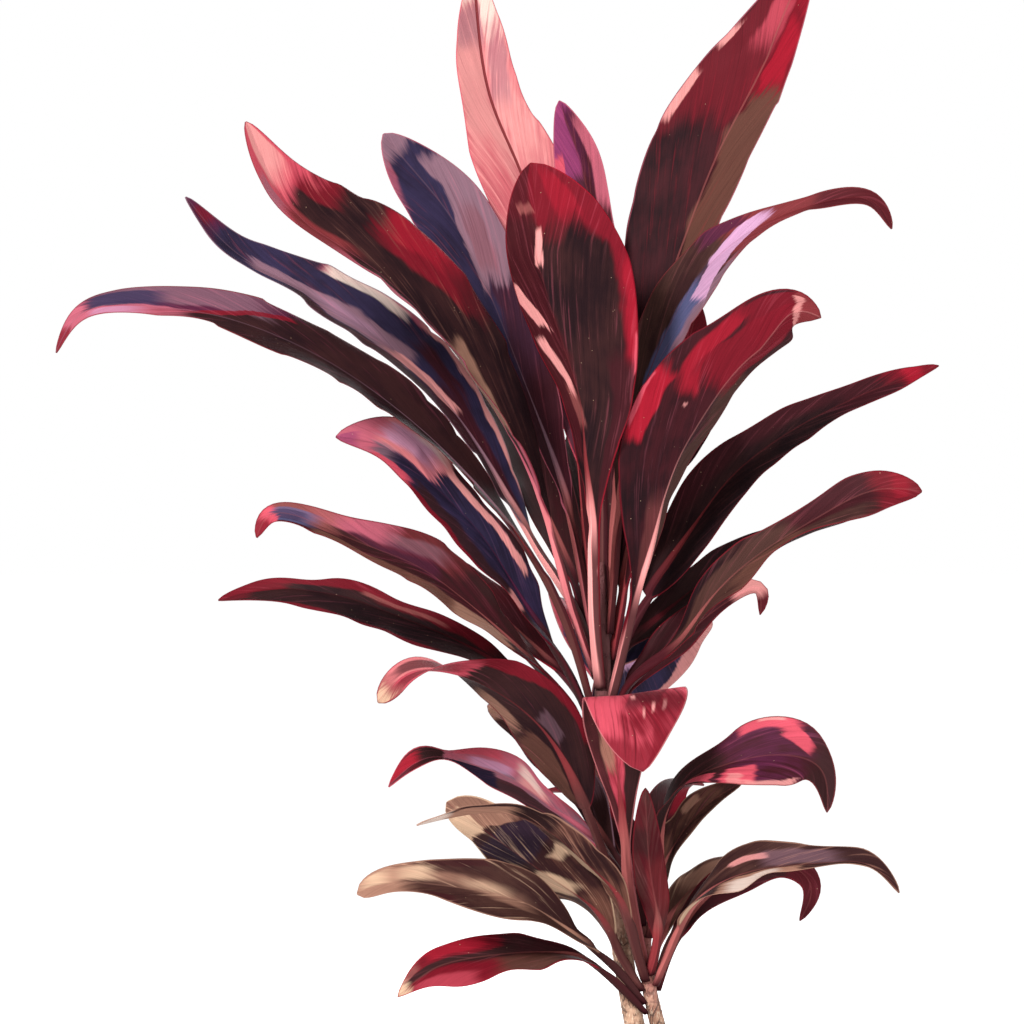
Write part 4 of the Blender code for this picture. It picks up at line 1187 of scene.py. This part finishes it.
# %% The look of each leaf on the side shoot
LOOKS.update({
    "shoot_leaf_red_left": Look("wine", "umber", "scarlet", "clay", "umber", patches("""
        0.4 0.68 -1 0 bronze 0.08 0.6
        0.62 0.97 -1.2 0 crimson 0.08 1
        0.72 0.95 -1.2 -0.4 coral 0.05 0.5
        0.54 0.92 0.05 0.5 umber 0.03
        0.6 0.92 0.45 1.2 crimson
        0.66 0.86 0.6 1.2 scarlet 0.03 0.7
        0.955 1.1 -1.2 1.2 straw 0.02 1
        0.9 0.96 0.5 1.2 clay 0.02 0.7""")),
    "shoot_leaf_bronze_left": Look("olive", "umber", "tan", "tan", "umber", patches("""
        0.2 0.5 0.2 1.2 umber 0.05
        0.52 0.86 0.12 0.46 tan 0.06 0.6 1
        0.58 0.7 0.2 0.4 straw 0.05 0.5
        0.8 0.95 0.25 0.75 straw 0.05 0.9
        0.74 0.9 -1.2 -0.4 wine 0.02 0.7
        0.62 0.82 0.8 1.2 wine 0.02 0.5
        0.86 1.1 -1.2 1.2 tan 0.06 0.9
        0.92 0.99 0.2 0.9 straw 0.04 0.8"""), "straw", 0.4),
    # The leaning umber and night band across the middle is a painted shadow cast by another leaf.
    "shoot_leaf_tan_left": Look("umber", "bronze", "straw", "brick", "russet", patches("""
        0.78 1.1 -1.2 1.2 tan 0.03 0.55
        0.46 0.62 -0.1 0.5 straw 0.03 0.7 3
        0.56 0.66 -0.9 -0.3 straw 0.02 0.7 3
        0.84 0.97 -0.2 1.2 straw 0.02
        0.6 0.84 -1 0.9 umber 0.012 1 5
        0.64 0.8 -1 0.6 night 0.02 0.6 5"""), "straw", 0.35),
    "shoot_leaf_narrow_left": Look("umber", "bronze", "tan", "brick", "russet", patches("""
        0.38 0.55 0.3 1.2 straw 0.03 0.7
        0.62 0.75 -1.2 0 black 0.03
        0.73 0.93 -0.7 1.2 tan 0.03
        0.92 1.1 -1.2 1.2 cream 0.02"""), "tan", 0.5),
    "shoot_leaf_twisted_left": Look("mauve", "rose", "coral", "rose", "umber", patches("""
        0.38 0.7 -1.2 -0.25 umber 0.02
        0.55 0.8 0.2 1 rose 0.03 0.8
        0.58 0.72 0.1 0.5 lilac 0.03 0.6
        0.44 0.54 0 0.5 salmon 0.03 0.8
        0.47 0.56 0.3 0.7 cream 0.03 0.7 3
        0.64 0.8 -0.9 0 night 0.015 1
        0.62 0.77 0.65 1.2 coral 0.02 0.8
        0.8 0.92 -1.2 1.2 umber 0.01 1
        0.88 1.1 -1.2 1.2 maroon 0.02
        0.88 0.985 0 0.8 scarlet 0.02""")),
    "shoot_leaf_mauve_left": Look("umber", "olive", "mauve", "clay", "umber", patches("""
        0.25 0.5 -1.2 1.2 umber 0.05
        0.5 0.96 -1.2 0.3 mauve 0.05 0.45
        0.93 1.1 -1.2 1.2 tan 0.02"""), "mauve", 0.6),
    "shoot_leaf_curled_left": Look("umber", "black", "crimson", "brick", "russet", patches("""
        0.36 0.6 0.3 1.2 bronze 0.02 0.6
        0.62 0.72 0.5 1.2 tan 0.03 0.6
        0.5 0.8 -1.2 -0.74 crimson 0.02 0.9
        0.54 0.6 -0.35 -0.05 mauve 0.01 0.3
        0.79 1.1 -1.2 1.2 coral 0.015 1
        0.8 0.95 -0.9 -0.2 crimson 0.03 0.8
        0.84 1.1 0 0.9 salmon 0.03 0.5
        0.81 0.93 0.15 0.7 wine 0.03 0.8
        0.94 1.1 -1.2 1.2 clay 0.02 0.8
        0.965 1.1 -0.8 0.8 straw 0.02 0.8""")),
    "shoot_leaf_folded_pink": Look("coral", "crimson", "blush", "brick", "clay", patches("""
        0.3 0.66 -1.2 0.1 umber 0.03 1
        0.4 0.76 0.6 1.2 umber 0.03
        0.55 0.76 0.35 0.65 tan 0.03 0.7
        0.78 0.84 -0.5 0.2 wine 0.02 0.7 4
        0.8 1.1 -1.2 -0.45 crimson 0.04 0.7
        0.82 0.9 0.45 1 coral 0.04 0.8
        0.8 0.815 0.06 0.14 salmon 0.012 0.9
        0.835 0.86 -0.33 -0.26 salmon 0.012 0.9
        0.825 0.85 -0.58 -0.5 salmon 0.012 0.9
        0.85 0.87 -0.1 -0.04 salmon 0.012 0.8
        0.92 1.1 -1.2 1.2 crimson 0.03 0.8
        0.8 0.86 -0.9 -0.35 maroon 0.03 0.6"""), "wine", 0.55, 0.08),
    "shoot_leaf_upright_red": Look("maroon", "russet", "crimson", "clay", "brick", patches("""
        0.3 0.62 -1.2 0.3 brick 0.06 0.6
        0.66 0.8 0.1 1.2 umber 0.04 0.7""")),
    # The salmon patch along the margin between reach 0.66 and 0.82 is a painted highlight.
    "shoot_leaf_arched_right": Look("wine", "plum", "brick", "clay", "clay", patches("""
        -0.1 0.57 -1.2 1.2 umber 0.03 1
        0.49 0.57 0.2 0.8 coral 0.01 1 4
        0.6 0.7 0.35 1.2 coral 0.015 1
        0.62 0.66 0.55 1 salmon 0.01 0.6
        0.66 0.82 0.84 1.2 salmon 0.02 0.8
        0.67 0.8 -1.2 -0.66 coral 0.02
        0.76 0.84 -0.8 -0.35 coral 0.015 0.9 4
        0.71 0.77 -1.2 -0.9 salmon 0.01 0.8
        0.86 1.1 -1.2 1.2 umber""")),
    "shoot_leaf_brown_right": Look("bronze", "umber", "tan", "clay", "clay", patches("""
        0.4 0.8 -1.2 -0.6 umber 0.05 0.6
        0.88 1.1 -1.2 1.2 umber 0.04 0.7
        0.66 0.78 -0.9 -0.5 tan 0.02 0.8""")),
    "shoot_leaf_low_right": Look("umber", "olive", "tan", "clay", "clay", patches("""
        0.2 0.34 -0.1 0.9 straw 0.02
        0.42 0.67 0.2 1.2 tan 0.02 1
        0.45 0.6 0.35 1.2 cream 0.03
        0.46 0.57 -0.6 -0.38 salmon 0.015 0.8
        0.55 0.8 -0.7 0 mauve 0.04 0.4
        0.8 1.1 -1.2 1.2 umber 0.05 0.8"""), "tan", 0.3),
    "shoot_leaf_curled_right": Look("wine", "umber", "crimson", "clay", "russet", patches("""
        0.74 1.1 -1.2 1.2 maroon""")),
})
print(sum("_leaf_" in name for name in LOOKS), "leaves now have a look of their own")

# %% [markdown]
# Every leaf is now grown in its own place and stands for its CAD solid.

# %% Grow the leaves
count = 0
for number, leaf in enumerate(LEAVES):
    guide = guide_of(leaf, number + 1)
    look = LOOKS.get(leaf.name) or LOOKS[leaf.tone]
    finish = leaf_finish("leaf " + leaf.name, look, leaf.stalk, number)
    piece = grown("grown_" + leaf.name, LEAF_TREE, {
        "Guide": guide, "Section": section, "Rows": len(guide.data.vertices),
        "Columns": len(outline), "Finish": finish})
    volume, loose = shell_check(piece)
    if loose or volume < 0:
        print("  check", leaf.name, "open edges", loose, "volume", volume, "cm3")
    bpy.data.objects.remove(guide)
    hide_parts(leaf.name)
    "leaf_" + leaf.tone
    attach(piece, "root")
    count += len(piece.data.polygons)
bpy.data.objects.remove(section)
print("leaves grown with", count, "quads")

# %% [markdown]
# The cane is bare below the head. A fallen leaf leaves a narrow raised scar round the cane, so the
# bark is ringed every centimetre or so, unevenly, with knots where a bud once sat. Both stems are
# made as fine tubes whose radius follows that rule, which keeps them closed and exactly in place.

# %% Stems with leaf scars
STEM_SIDES = 56
SCAR_HEIGHT = 0.9
SCAR_FIRST, SCAR_LAST = 214, 560
STEM_STEP, STEM_SMOOTHING = 1.6, 12


def scar_rise(heights, angles, rng, low, high, spacing):
    """How far the bark stands out for the scars, by height and angle."""
    rise = np.zeros((len(heights), len(angles)))
    place = low
    while place < high:
        tilt = rng.uniform(0, 2 * math.pi)
        level = place + 2.2 * np.cos(angles - tilt) + 0.6 * np.cos(3 * angles + tilt)
        sharp = rng.uniform(1.1, 1.8)
        gap = heights[:, None] - level[None, :]
        strength = SCAR_HEIGHT * rng.uniform(0.5, 1.0) * (0.65 + 0.35 * np.cos(angles - tilt))
        rise += strength[None, :] * np.exp(-(gap / sharp) ** 2)
        rise -= 0.35 * strength[None, :] * np.exp(-((gap + 2.6) / 1.6) ** 2)
        place += spacing * rng.uniform(0.6, 1.4)
    return rise


def stem_mesh(name, stem, scars, seed):
    line, radii = STEMS[stem]
    coarse = curve_through(line, STEM_RINGS)
    steps = np.concatenate([[0], np.cumsum(np.linalg.norm(np.diff(coarse, axis=0), axis=1))])
    fine = np.arange(0, steps[-1], STEM_STEP)
    path = np.column_stack([np.interp(fine, steps, coarse[:, axis]) for axis in range(3)])
    for _ in range(STEM_SMOOTHING):
        path[1:-1] = (path[:-2] + 2 * path[1:-1] + path[2:]) / 4
    tangents, faces = carried_faces(path, (1, 0, 0))
    sides = np.cross(tangents, faces)
    angles = np.linspace(0, 2 * math.pi, STEM_SIDES, endpoint=False)
    rng = np.random.default_rng(seed)
    heights = path[:, 2]
    radius = np.interp(heights, [point[2] for point in line], radii)[:, None]
    low, high, spacing = scars
    rise = scar_rise(heights, angles, rng, low, high, spacing)
    for turns in (2, 3, 5):
        phase = smooth_random(rng, (heights - heights[0]) / np.ptp(heights), 9)[:, None] * 4
        rise += 0.22 / turns * np.sin(turns * angles[None, :] + phase)
    fade = np.clip((high + 30 - heights) / 60, 0, 1)[:, None]
    radius = radius * 0.985 + rise * fade - 0.15
    rings = (path[:, None, :] + radius[..., None] * (faces[:, None, :] * np.cos(angles)[None, :, None]
             + sides[:, None, :] * np.sin(angles)[None, :, None]))
    verts = np.vstack([rings.reshape(-1, 3), path[:1], path[-1:]]) * MM
    count, last = len(path), len(path) * STEM_SIDES
    quads = []
    for r in range(count - 1):
        for s in range(STEM_SIDES):
            a, b = r * STEM_SIDES + s, r * STEM_SIDES + (s + 1) % STEM_SIDES
            quads.append((a, b, b + STEM_SIDES, a + STEM_SIDES))
    for s in range(STEM_SIDES):
        nxt = (s + 1) % STEM_SIDES
        quads.append((nxt, s, last))
        top = (count - 1) * STEM_SIDES
        quads.append((top + s, top + nxt, last + 1))
    mesh = bpy.data.meshes.new(name)
    mesh.from_pydata(verts.tolist(), [], quads)
    around = mesh.uv_layers.new(name="bark_map")
    loops = np.zeros(len(mesh.loops), int)
    mesh.loops.foreach_get("vertex_index", loops)
    ring, spoke = np.minimum(loops // STEM_SIDES, count - 1), loops % STEM_SIDES
    wrap = np.column_stack([spoke / STEM_SIDES, path[ring, 2] * MM])
    around.data.foreach_set("uv", wrap.ravel())
    mesh.polygons.foreach_set("use_smooth", [True] * len(mesh.polygons))
    thing = bpy.data.objects.new(name, mesh)
    bpy.context.collection.objects.link(thing)
    return thing


cane = stem_mesh("barked_cane", "cane", (SCAR_FIRST, SCAR_LAST, 11.0), 5)
shoot = stem_mesh("barked_side_shoot", "side_shoot_stem", (216, 330, 7.0), 6)
for stem in (cane, shoot):
    print(stem.name, len(stem.data.polygons), "faces", shell_check(stem))

# %% [markdown]
# Bark on a ti cane is dry and tan, cracked lengthwise into dark lines, with paler cork on the high
# spots and rosy young skin further up where the leaves have only just fallen. The colour reads the
# object's own coordinates, stretched along the cane, so cracks run up it.

# %% Bark
BARK_LIGHT = 1.7
BARK = {name: paint(code, BARK_LIGHT) for name, code in {
    "cork": "d3a78a", "pale": "f0d6ba", "dark": "4a2e24", "umber": "8a5f48", "rosy": "9c4b4a",
    "shade": "5c262b"}.items()}


def bark_finish(name, rosy_from, rosy_full):
    finish, bench, skin = new_finish(name, 0.8)
    place = bench.add("ShaderNodeTexCoord", {}, {}, "Object")
    height = place.part("Z")
    stretched = bench.add("ShaderNodeVectorMath", {"operation": "MULTIPLY"}, {0: place, 1: (1, 1, 0.28)})
    bands = bench.add("ShaderNodeVectorMath", {"operation": "MULTIPLY"}, {0: place, 1: (0.35, 0.35, 1)})
    cloud = bench.noise(place, 55.0, 4.0, 0.6)
    grain = bench.noise(stretched, 520.0, 4.0, 0.65)
    rings = bench.noise(bands, 240.0, 3.0, 0.6)
    cracks = bench.add("ShaderNodeTexVoronoi", {"feature": "DISTANCE_TO_EDGE"},
                       {"Vector": stretched + (cloud - 0.5) * 0.01, "Scale": 170.0}, "Distance")
    crack = cracks.falls(0.02, 0.09) * cloud.rises(0.42, 0.58)
    colour = bench.blend(cloud.rises(0.35, 0.65), BARK["cork"], BARK["umber"])
    colour = bench.blend(grain.rises(0.5, 0.7) * 0.7, colour, BARK["pale"])
    colour = bench.blend(rings.rises(0.55, 0.7) * 0.55, colour, BARK["dark"])
    young = height.rises(rosy_from, rosy_full)
    colour = bench.blend(young * (0.6 + cloud * 0.5), colour, BARK["rosy"])
    # Painted shade: the cane's top, among the leaf bases of the head, is darkened.
    colour = bench.blend(height.rises(0.58, 0.64) * 0.9, colour, BARK["shade"])
    colour = bench.blend(crack * (1 - young * 0.8) * 0.9, colour, BARK["dark"])
    feed(bench, skin, "Base Color", colour)
    feed(bench, skin, "Roughness", 0.72 + grain * 0.2)
    relief = grain * 0.5 + rings * 0.6 - crack * 1.2 + cloud * 0.4
    add_relief(bench, skin, 0.8, 0.0012, relief)
    return finish


cane.data.materials.append(bark_finish("cane bark", 0.37, 0.46))
shoot.data.materials.append(bark_finish("side shoot bark", 0.30, 0.36))
for piece, node in ((cane, "cane"), (shoot, "side_shoot_stem")):
    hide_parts(node)
    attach(piece, "root")
print("bark on both stems")

# %% [markdown]
# The pot is plain: a tapered body, a band under a rolled rim, and a foot. A turned profile gives
# all of that. The profile is run round the axis by hand, because a few dozen points and one loop
# are simpler to read than a modifier, and the CAD pot's straight walls stay its measure.

# %% Pot
POT_SIDES = 160
POT_PROFILE = [
    (0, 3.0), (78, 3.0), (82, 2.0), (84, 0.6), (87, 0.0), (91, 0.2), (93.4, 1.4), (94.4, 3.6), (95.2, 8),
    (98.6, 30), (104.5, 70), (110.3, 110), (116.1, 150), (120.6, 181), (123.4, 200), (124.6, 206.5),
    (125.6, 209.0), (127.6, 210.6), (129.0, 212.6), (129.6, 215.5), (129.9, 220), (129.9, 231),
    (129.4, 235.4), (128.0, 238.2), (125.6, 239.6), (123.4, 239.8), (121.4, 238.9), (120.2, 236.8),
    (119.6, 233), (119.2, 220), (118.4, 205), (116, 188), (92, 14), (88, 10.6), (0, 10.4)]


def turned(name, profile, sides):
    """A closed body from (radius, height) steps; a radius of 0 is a pole."""
    mesh = bpy.data.meshes.new(name)
    cage = bmesh.new()
    rings = []
    for radius, height in profile:
        if radius == 0:
            rings.append([cage.verts.new((0, 0, height * MM))])
            continue
        rings.append([cage.verts.new((radius * MM * math.cos(a), radius * MM * math.sin(a), height * MM))
                      for a in np.linspace(0, 2 * math.pi, sides, endpoint=False)])
    for below, above in zip(rings, rings[1:]):
        for s in range(sides):
            corners = [below[s % len(below)], below[(s + 1) % len(below)],
                       above[(s + 1) % len(above)], above[s % len(above)]]
            unique = list(dict.fromkeys(corners))
            if len(unique) > 2:
                cage.faces.new(unique)
    bmesh.ops.recalc_face_normals(cage, faces=cage.faces)
    cage.to_mesh(mesh)
    cage.free()
    mesh.polygons.foreach_set("use_smooth", [True] * len(mesh.polygons))
    thing = bpy.data.objects.new(name, mesh)
    bpy.context.collection.objects.link(thing)
    return thing


print("pot profile has", len(POT_PROFILE), "steps")

# %% [markdown]
# The pot's matt skin is a pale stone colour, cloudy and finely grained, with dust near its foot.

# %% Paint for the pot
POT_LIGHT = 2.0
GLAZE = {name: paint(code, POT_LIGHT) for name, code in {
    "pale": "c2bab0", "dull": "b5ada2", "grain": "958c80", "dust": "8c7a68"}.items()}


def pot_finish():
    finish, bench, skin = new_finish("matt pot", 0.55)
    place = bench.add("ShaderNodeTexCoord", {}, {}, "Object")
    cloud = bench.noise(place, 9.0, 3.0)
    grain = bench.noise(place, 900.0, 2.0)
    dust = place.part("Z").falls(0.0, 0.05) * cloud.rises(0.4, 0.7)
    colour = bench.blend(cloud.rises(0.3, 0.7), GLAZE["pale"], GLAZE["dull"])
    colour = bench.blend(grain.rises(0.58, 0.7) * 0.25, colour, GLAZE["grain"])
    colour = bench.blend(dust * 0.35, colour, GLAZE["dust"])
    feed(bench, skin, "Base Color", colour)
    feed(bench, skin, "Roughness", 0.5 + cloud * 0.2)
    add_relief(bench, skin, 0.25, 0.0004, grain + cloud)
    return finish


pot = turned("turned_pot", POT_PROFILE, POT_SIDES)
pot.data.materials.append(pot_finish())
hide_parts("pot")
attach(pot, "root")
print("pot", len(pot.data.polygons), "faces", shell_check(pot))

# %% [markdown]
# Potting soil is lumpy: a low uneven mound of fine dark mix with crumbs of bark and peat on top.
# The mound is a disc whose height wanders, closed below.

# %% Soil bed
SOIL_TOP, SOIL_RADIUS = 214.0, 118.2
MOUND_RISE, MOUND_STEPS, MOUND_SIDES = 4.0, 26, 128
BUMPS = 260


def soil_bed():
    rng = np.random.default_rng(11)
    profile = [(0, 16.0), (80, 16.0), (91, 20.0), (SOIL_RADIUS - 3, 190.0), (SOIL_RADIUS, 205.0)]
    profile += [(SOIL_RADIUS * (1 - k / MOUND_STEPS), SOIL_TOP + MOUND_RISE * (k / MOUND_STEPS))
                for k in range(1, MOUND_STEPS)]
    profile += [(0, SOIL_TOP + MOUND_RISE)]
    bed = turned("soil_bed", profile, MOUND_SIDES)
    bumps = [(rng.uniform(-1, 1, 2) * SOIL_RADIUS * MM, rng.uniform(4, 14) * MM,
              rng.uniform(-1.6, 1.8) * MM) for _ in range(BUMPS)]
    for vert in bed.data.vertices:
        if vert.co.z > (SOIL_TOP - 4) * MM:
            rise = 0.0
            for middle, size, height in bumps:
                away = math.hypot(vert.co.x - middle[0], vert.co.y - middle[1])
                rise += height * math.exp(-(away / size) ** 2)
            vert.co.z += max(rise, -4 * MM)
    return bed


bed = soil_bed()
print("soil bed", len(bed.data.polygons), "faces", shell_check(bed))

# %% [markdown]
# The crumbs are scattered over it by Geometry Nodes: points on the mound's top, and on each a small
# stone that a noise makes rough, pressed flatter, turned and scaled by a fixed seed.

# %% The tree that scatters crumbs
FULL_TURN = 6.283
ROUGHER, FLAT_SIDE, FLAT_TOP = 1.3, 0.75, 0.6


def crumb_tree():
    tree, bench = new_tree("crumbs on the soil", [
        ("Bed", "NodeSocketObject"), ("Crumbs per square metre", "NodeSocketFloat"),
        ("Smallest", "NodeSocketFloat"), ("Largest", "NodeSocketFloat"), ("Seed", "NodeSocketInt"),
        ("Roundness", "NodeSocketInt"), ("Finish", "NodeSocketMaterial")])
    inlet = tree.nodes.new("NodeGroupInput")
    given = {socket.name: Wire(bench, socket) for socket in inlet.outputs}
    bed_shape = bench.add("GeometryNodeObjectInfo", {}, {"Object": given["Bed"]}, "Geometry")
    normal = bench.add("GeometryNodeInputNormal", {}, {})
    place = bench.add("GeometryNodeInputPosition", {}, {})
    on_top = (normal.part("Z").sum("GREATER_THAN", 0.6)
              * place.part("Z").sum("GREATER_THAN", (SOIL_TOP - 8) * MM))
    points = bench.add("GeometryNodeDistributePointsOnFaces", {"distribute_method": "RANDOM"},
                       {"Mesh": bed_shape, "Selection": on_top,
                        "Density": given["Crumbs per square metre"], "Seed": given["Seed"]}, "Points")
    stone = bench.add("GeometryNodeMeshIcoSphere", {}, {"Radius": 1.0,
                                                       "Subdivisions": given["Roundness"]}, "Mesh")
    lump = bench.add("ShaderNodeTexNoise", {"noise_dimensions": "3D"}, {"Scale": 1.1}, "Fac")
    stone = bench.add("GeometryNodeSetPosition", {},
                      {"Geometry": stone, "Offset": normal * ((lump - 0.5) * ROUGHER)})
    turn = bench.add("FunctionNodeRandomValue", {"data_type": "FLOAT_VECTOR"},
                     {"Min": (0, 0, 0), "Max": (FULL_TURN,) * 3, "Seed": given["Seed"]}, 0)
    size = bench.add("FunctionNodeRandomValue", {"data_type": "FLOAT"},
                     {"Min": given["Smallest"], "Max": given["Largest"], "Seed": given["Seed"]}, 1)
    stretch = bench.vector(size, size * FLAT_SIDE, size * FLAT_TOP)
    crumbs = bench.add("GeometryNodeInstanceOnPoints", {},
                       {"Points": points, "Instance": stone, "Rotation": turn, "Scale": stretch})
    crumbs = bench.add("GeometryNodeRealizeInstances", {}, {"Geometry": crumbs})
    crumbs = bench.add("GeometryNodeSetMaterial", {}, {"Geometry": crumbs, "Material": given["Finish"]})
    outlet = tree.nodes.new("NodeGroupOutput")
    tree.links.new(crumbs.socket, outlet.inputs[0])
    return tree


CRUMB_TREE = crumb_tree()
print("crumb tree has", len(CRUMB_TREE.nodes), "nodes")

# %% [markdown]
# The mound, the fine crumbs and the larger chips have one kind of finish in different browns, with
# paler bits in it.

# %% Paint for the soil, and the crumbs on it


def soil_finish(name, dark, light, bits):
    finish, bench, skin = new_finish(name, 0.9)
    place = bench.add("ShaderNodeTexCoord", {}, {}, "Object")
    cloud = bench.noise(place, 60.0, 4.0, 0.6)
    grain = bench.noise(place, 480.0, 5.0, 0.7)
    colour = bench.blend(cloud.rises(0.35, 0.65), paint(dark), paint(light))
    colour = bench.blend(grain.rises(0.56, 0.68) * 0.6, colour, paint(bits))
    feed(bench, skin, "Base Color", colour)
    feed(bench, skin, "Roughness", 0.8 + grain * 0.2)
    add_relief(bench, skin, 1.0, 0.003, grain)
    return finish


bed.data.materials.append(soil_finish("soil mix", "1f1510", "33241b", "5d4634"))
fine_crumbs = grown("soil_crumbs", CRUMB_TREE, {
    "Bed": bed, "Crumbs per square metre": 26000.0, "Smallest": 0.0009, "Largest": 0.0026,
    "Seed": 3, "Roundness": 1,
    "Finish": soil_finish("peat crumbs", "241811", "3c2a1f", "6b5240")})
bark_chips = grown("soil_bark_chips", CRUMB_TREE, {
    "Bed": bed, "Crumbs per square metre": 1500.0, "Smallest": 0.003, "Largest": 0.0065,
    "Seed": 8, "Roundness": 2,
    "Finish": soil_finish("bark chips", "4a3224", "76543c", "a07c5c")})
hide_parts("soil")
for piece in (bed, fine_crumbs, bark_chips):
    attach(piece, "root")
    print(piece.name, len(piece.data.polygons), "faces")

# %% [markdown]
# The studio is a wide pale floor under an even pale sky, so that no horizon draws the eye, with a
# broad key light from the upper left as in the photo, a weaker fill and a light from behind.

# %% Floor and light
FLOOR_REACH = 60.0
FLOOR_PAINT = (0.84, 0.84, 0.84, 1.0)
FLOOR_GLOW = 0.17
WHITE = (1.0, 1.0, 1.0, 1.0)


def add_floor():
    mesh = bpy.data.meshes.new("floor")
    cage = bmesh.new()
    bmesh.ops.create_circle(cage, cap_ends=True, segments=96, radius=FLOOR_REACH)
    cage.to_mesh(mesh)
    cage.free()
    floor = bpy.data.objects.new("floor", mesh)
    bpy.context.collection.objects.link(floor)
    finish, bench, skin = new_finish("pale floor", 0.9, 0.0)
    skin.inputs["Base Color"].default_value = FLOOR_PAINT
    skin.inputs["Emission Color"].default_value = WHITE
    skin.inputs["Emission Strength"].default_value = FLOOR_GLOW
    mesh.materials.append(finish)


def add_light(name, place, aim, size, power):
    data = bpy.data.lights.new(name, "AREA")
    data.shape = "DISK"
    data.size = size
    data.energy = power
    light = bpy.data.objects.new(name, data)
    light.location = place
    light.rotation_euler = (Vector(aim) - Vector(place)).to_track_quat("-Z", "Y").to_euler()
    bpy.context.collection.objects.link(light)


add_floor()
add_light("key", (-1.9, -4.2, 3.0), (-0.1, 0, 0.9), 1.0, 460)
add_light("fill", (3.2, -2.6, 1.8), (-0.1, 0, 0.8), 2.2, 40)
add_light("back", (1.4, 3.4, 3.0), (-0.1, 0, 0.9), 1.8, 150)
world = bpy.data.worlds.new("pale sky")
world.use_nodes = True
world.node_tree.nodes["Background"].inputs["Color"].default_value = WHITE
world.node_tree.nodes["Background"].inputs["Strength"].default_value = 1.0
bpy.context.scene.world = world
bpy.context.scene.view_settings.view_transform = "Standard"
print("studio ready")
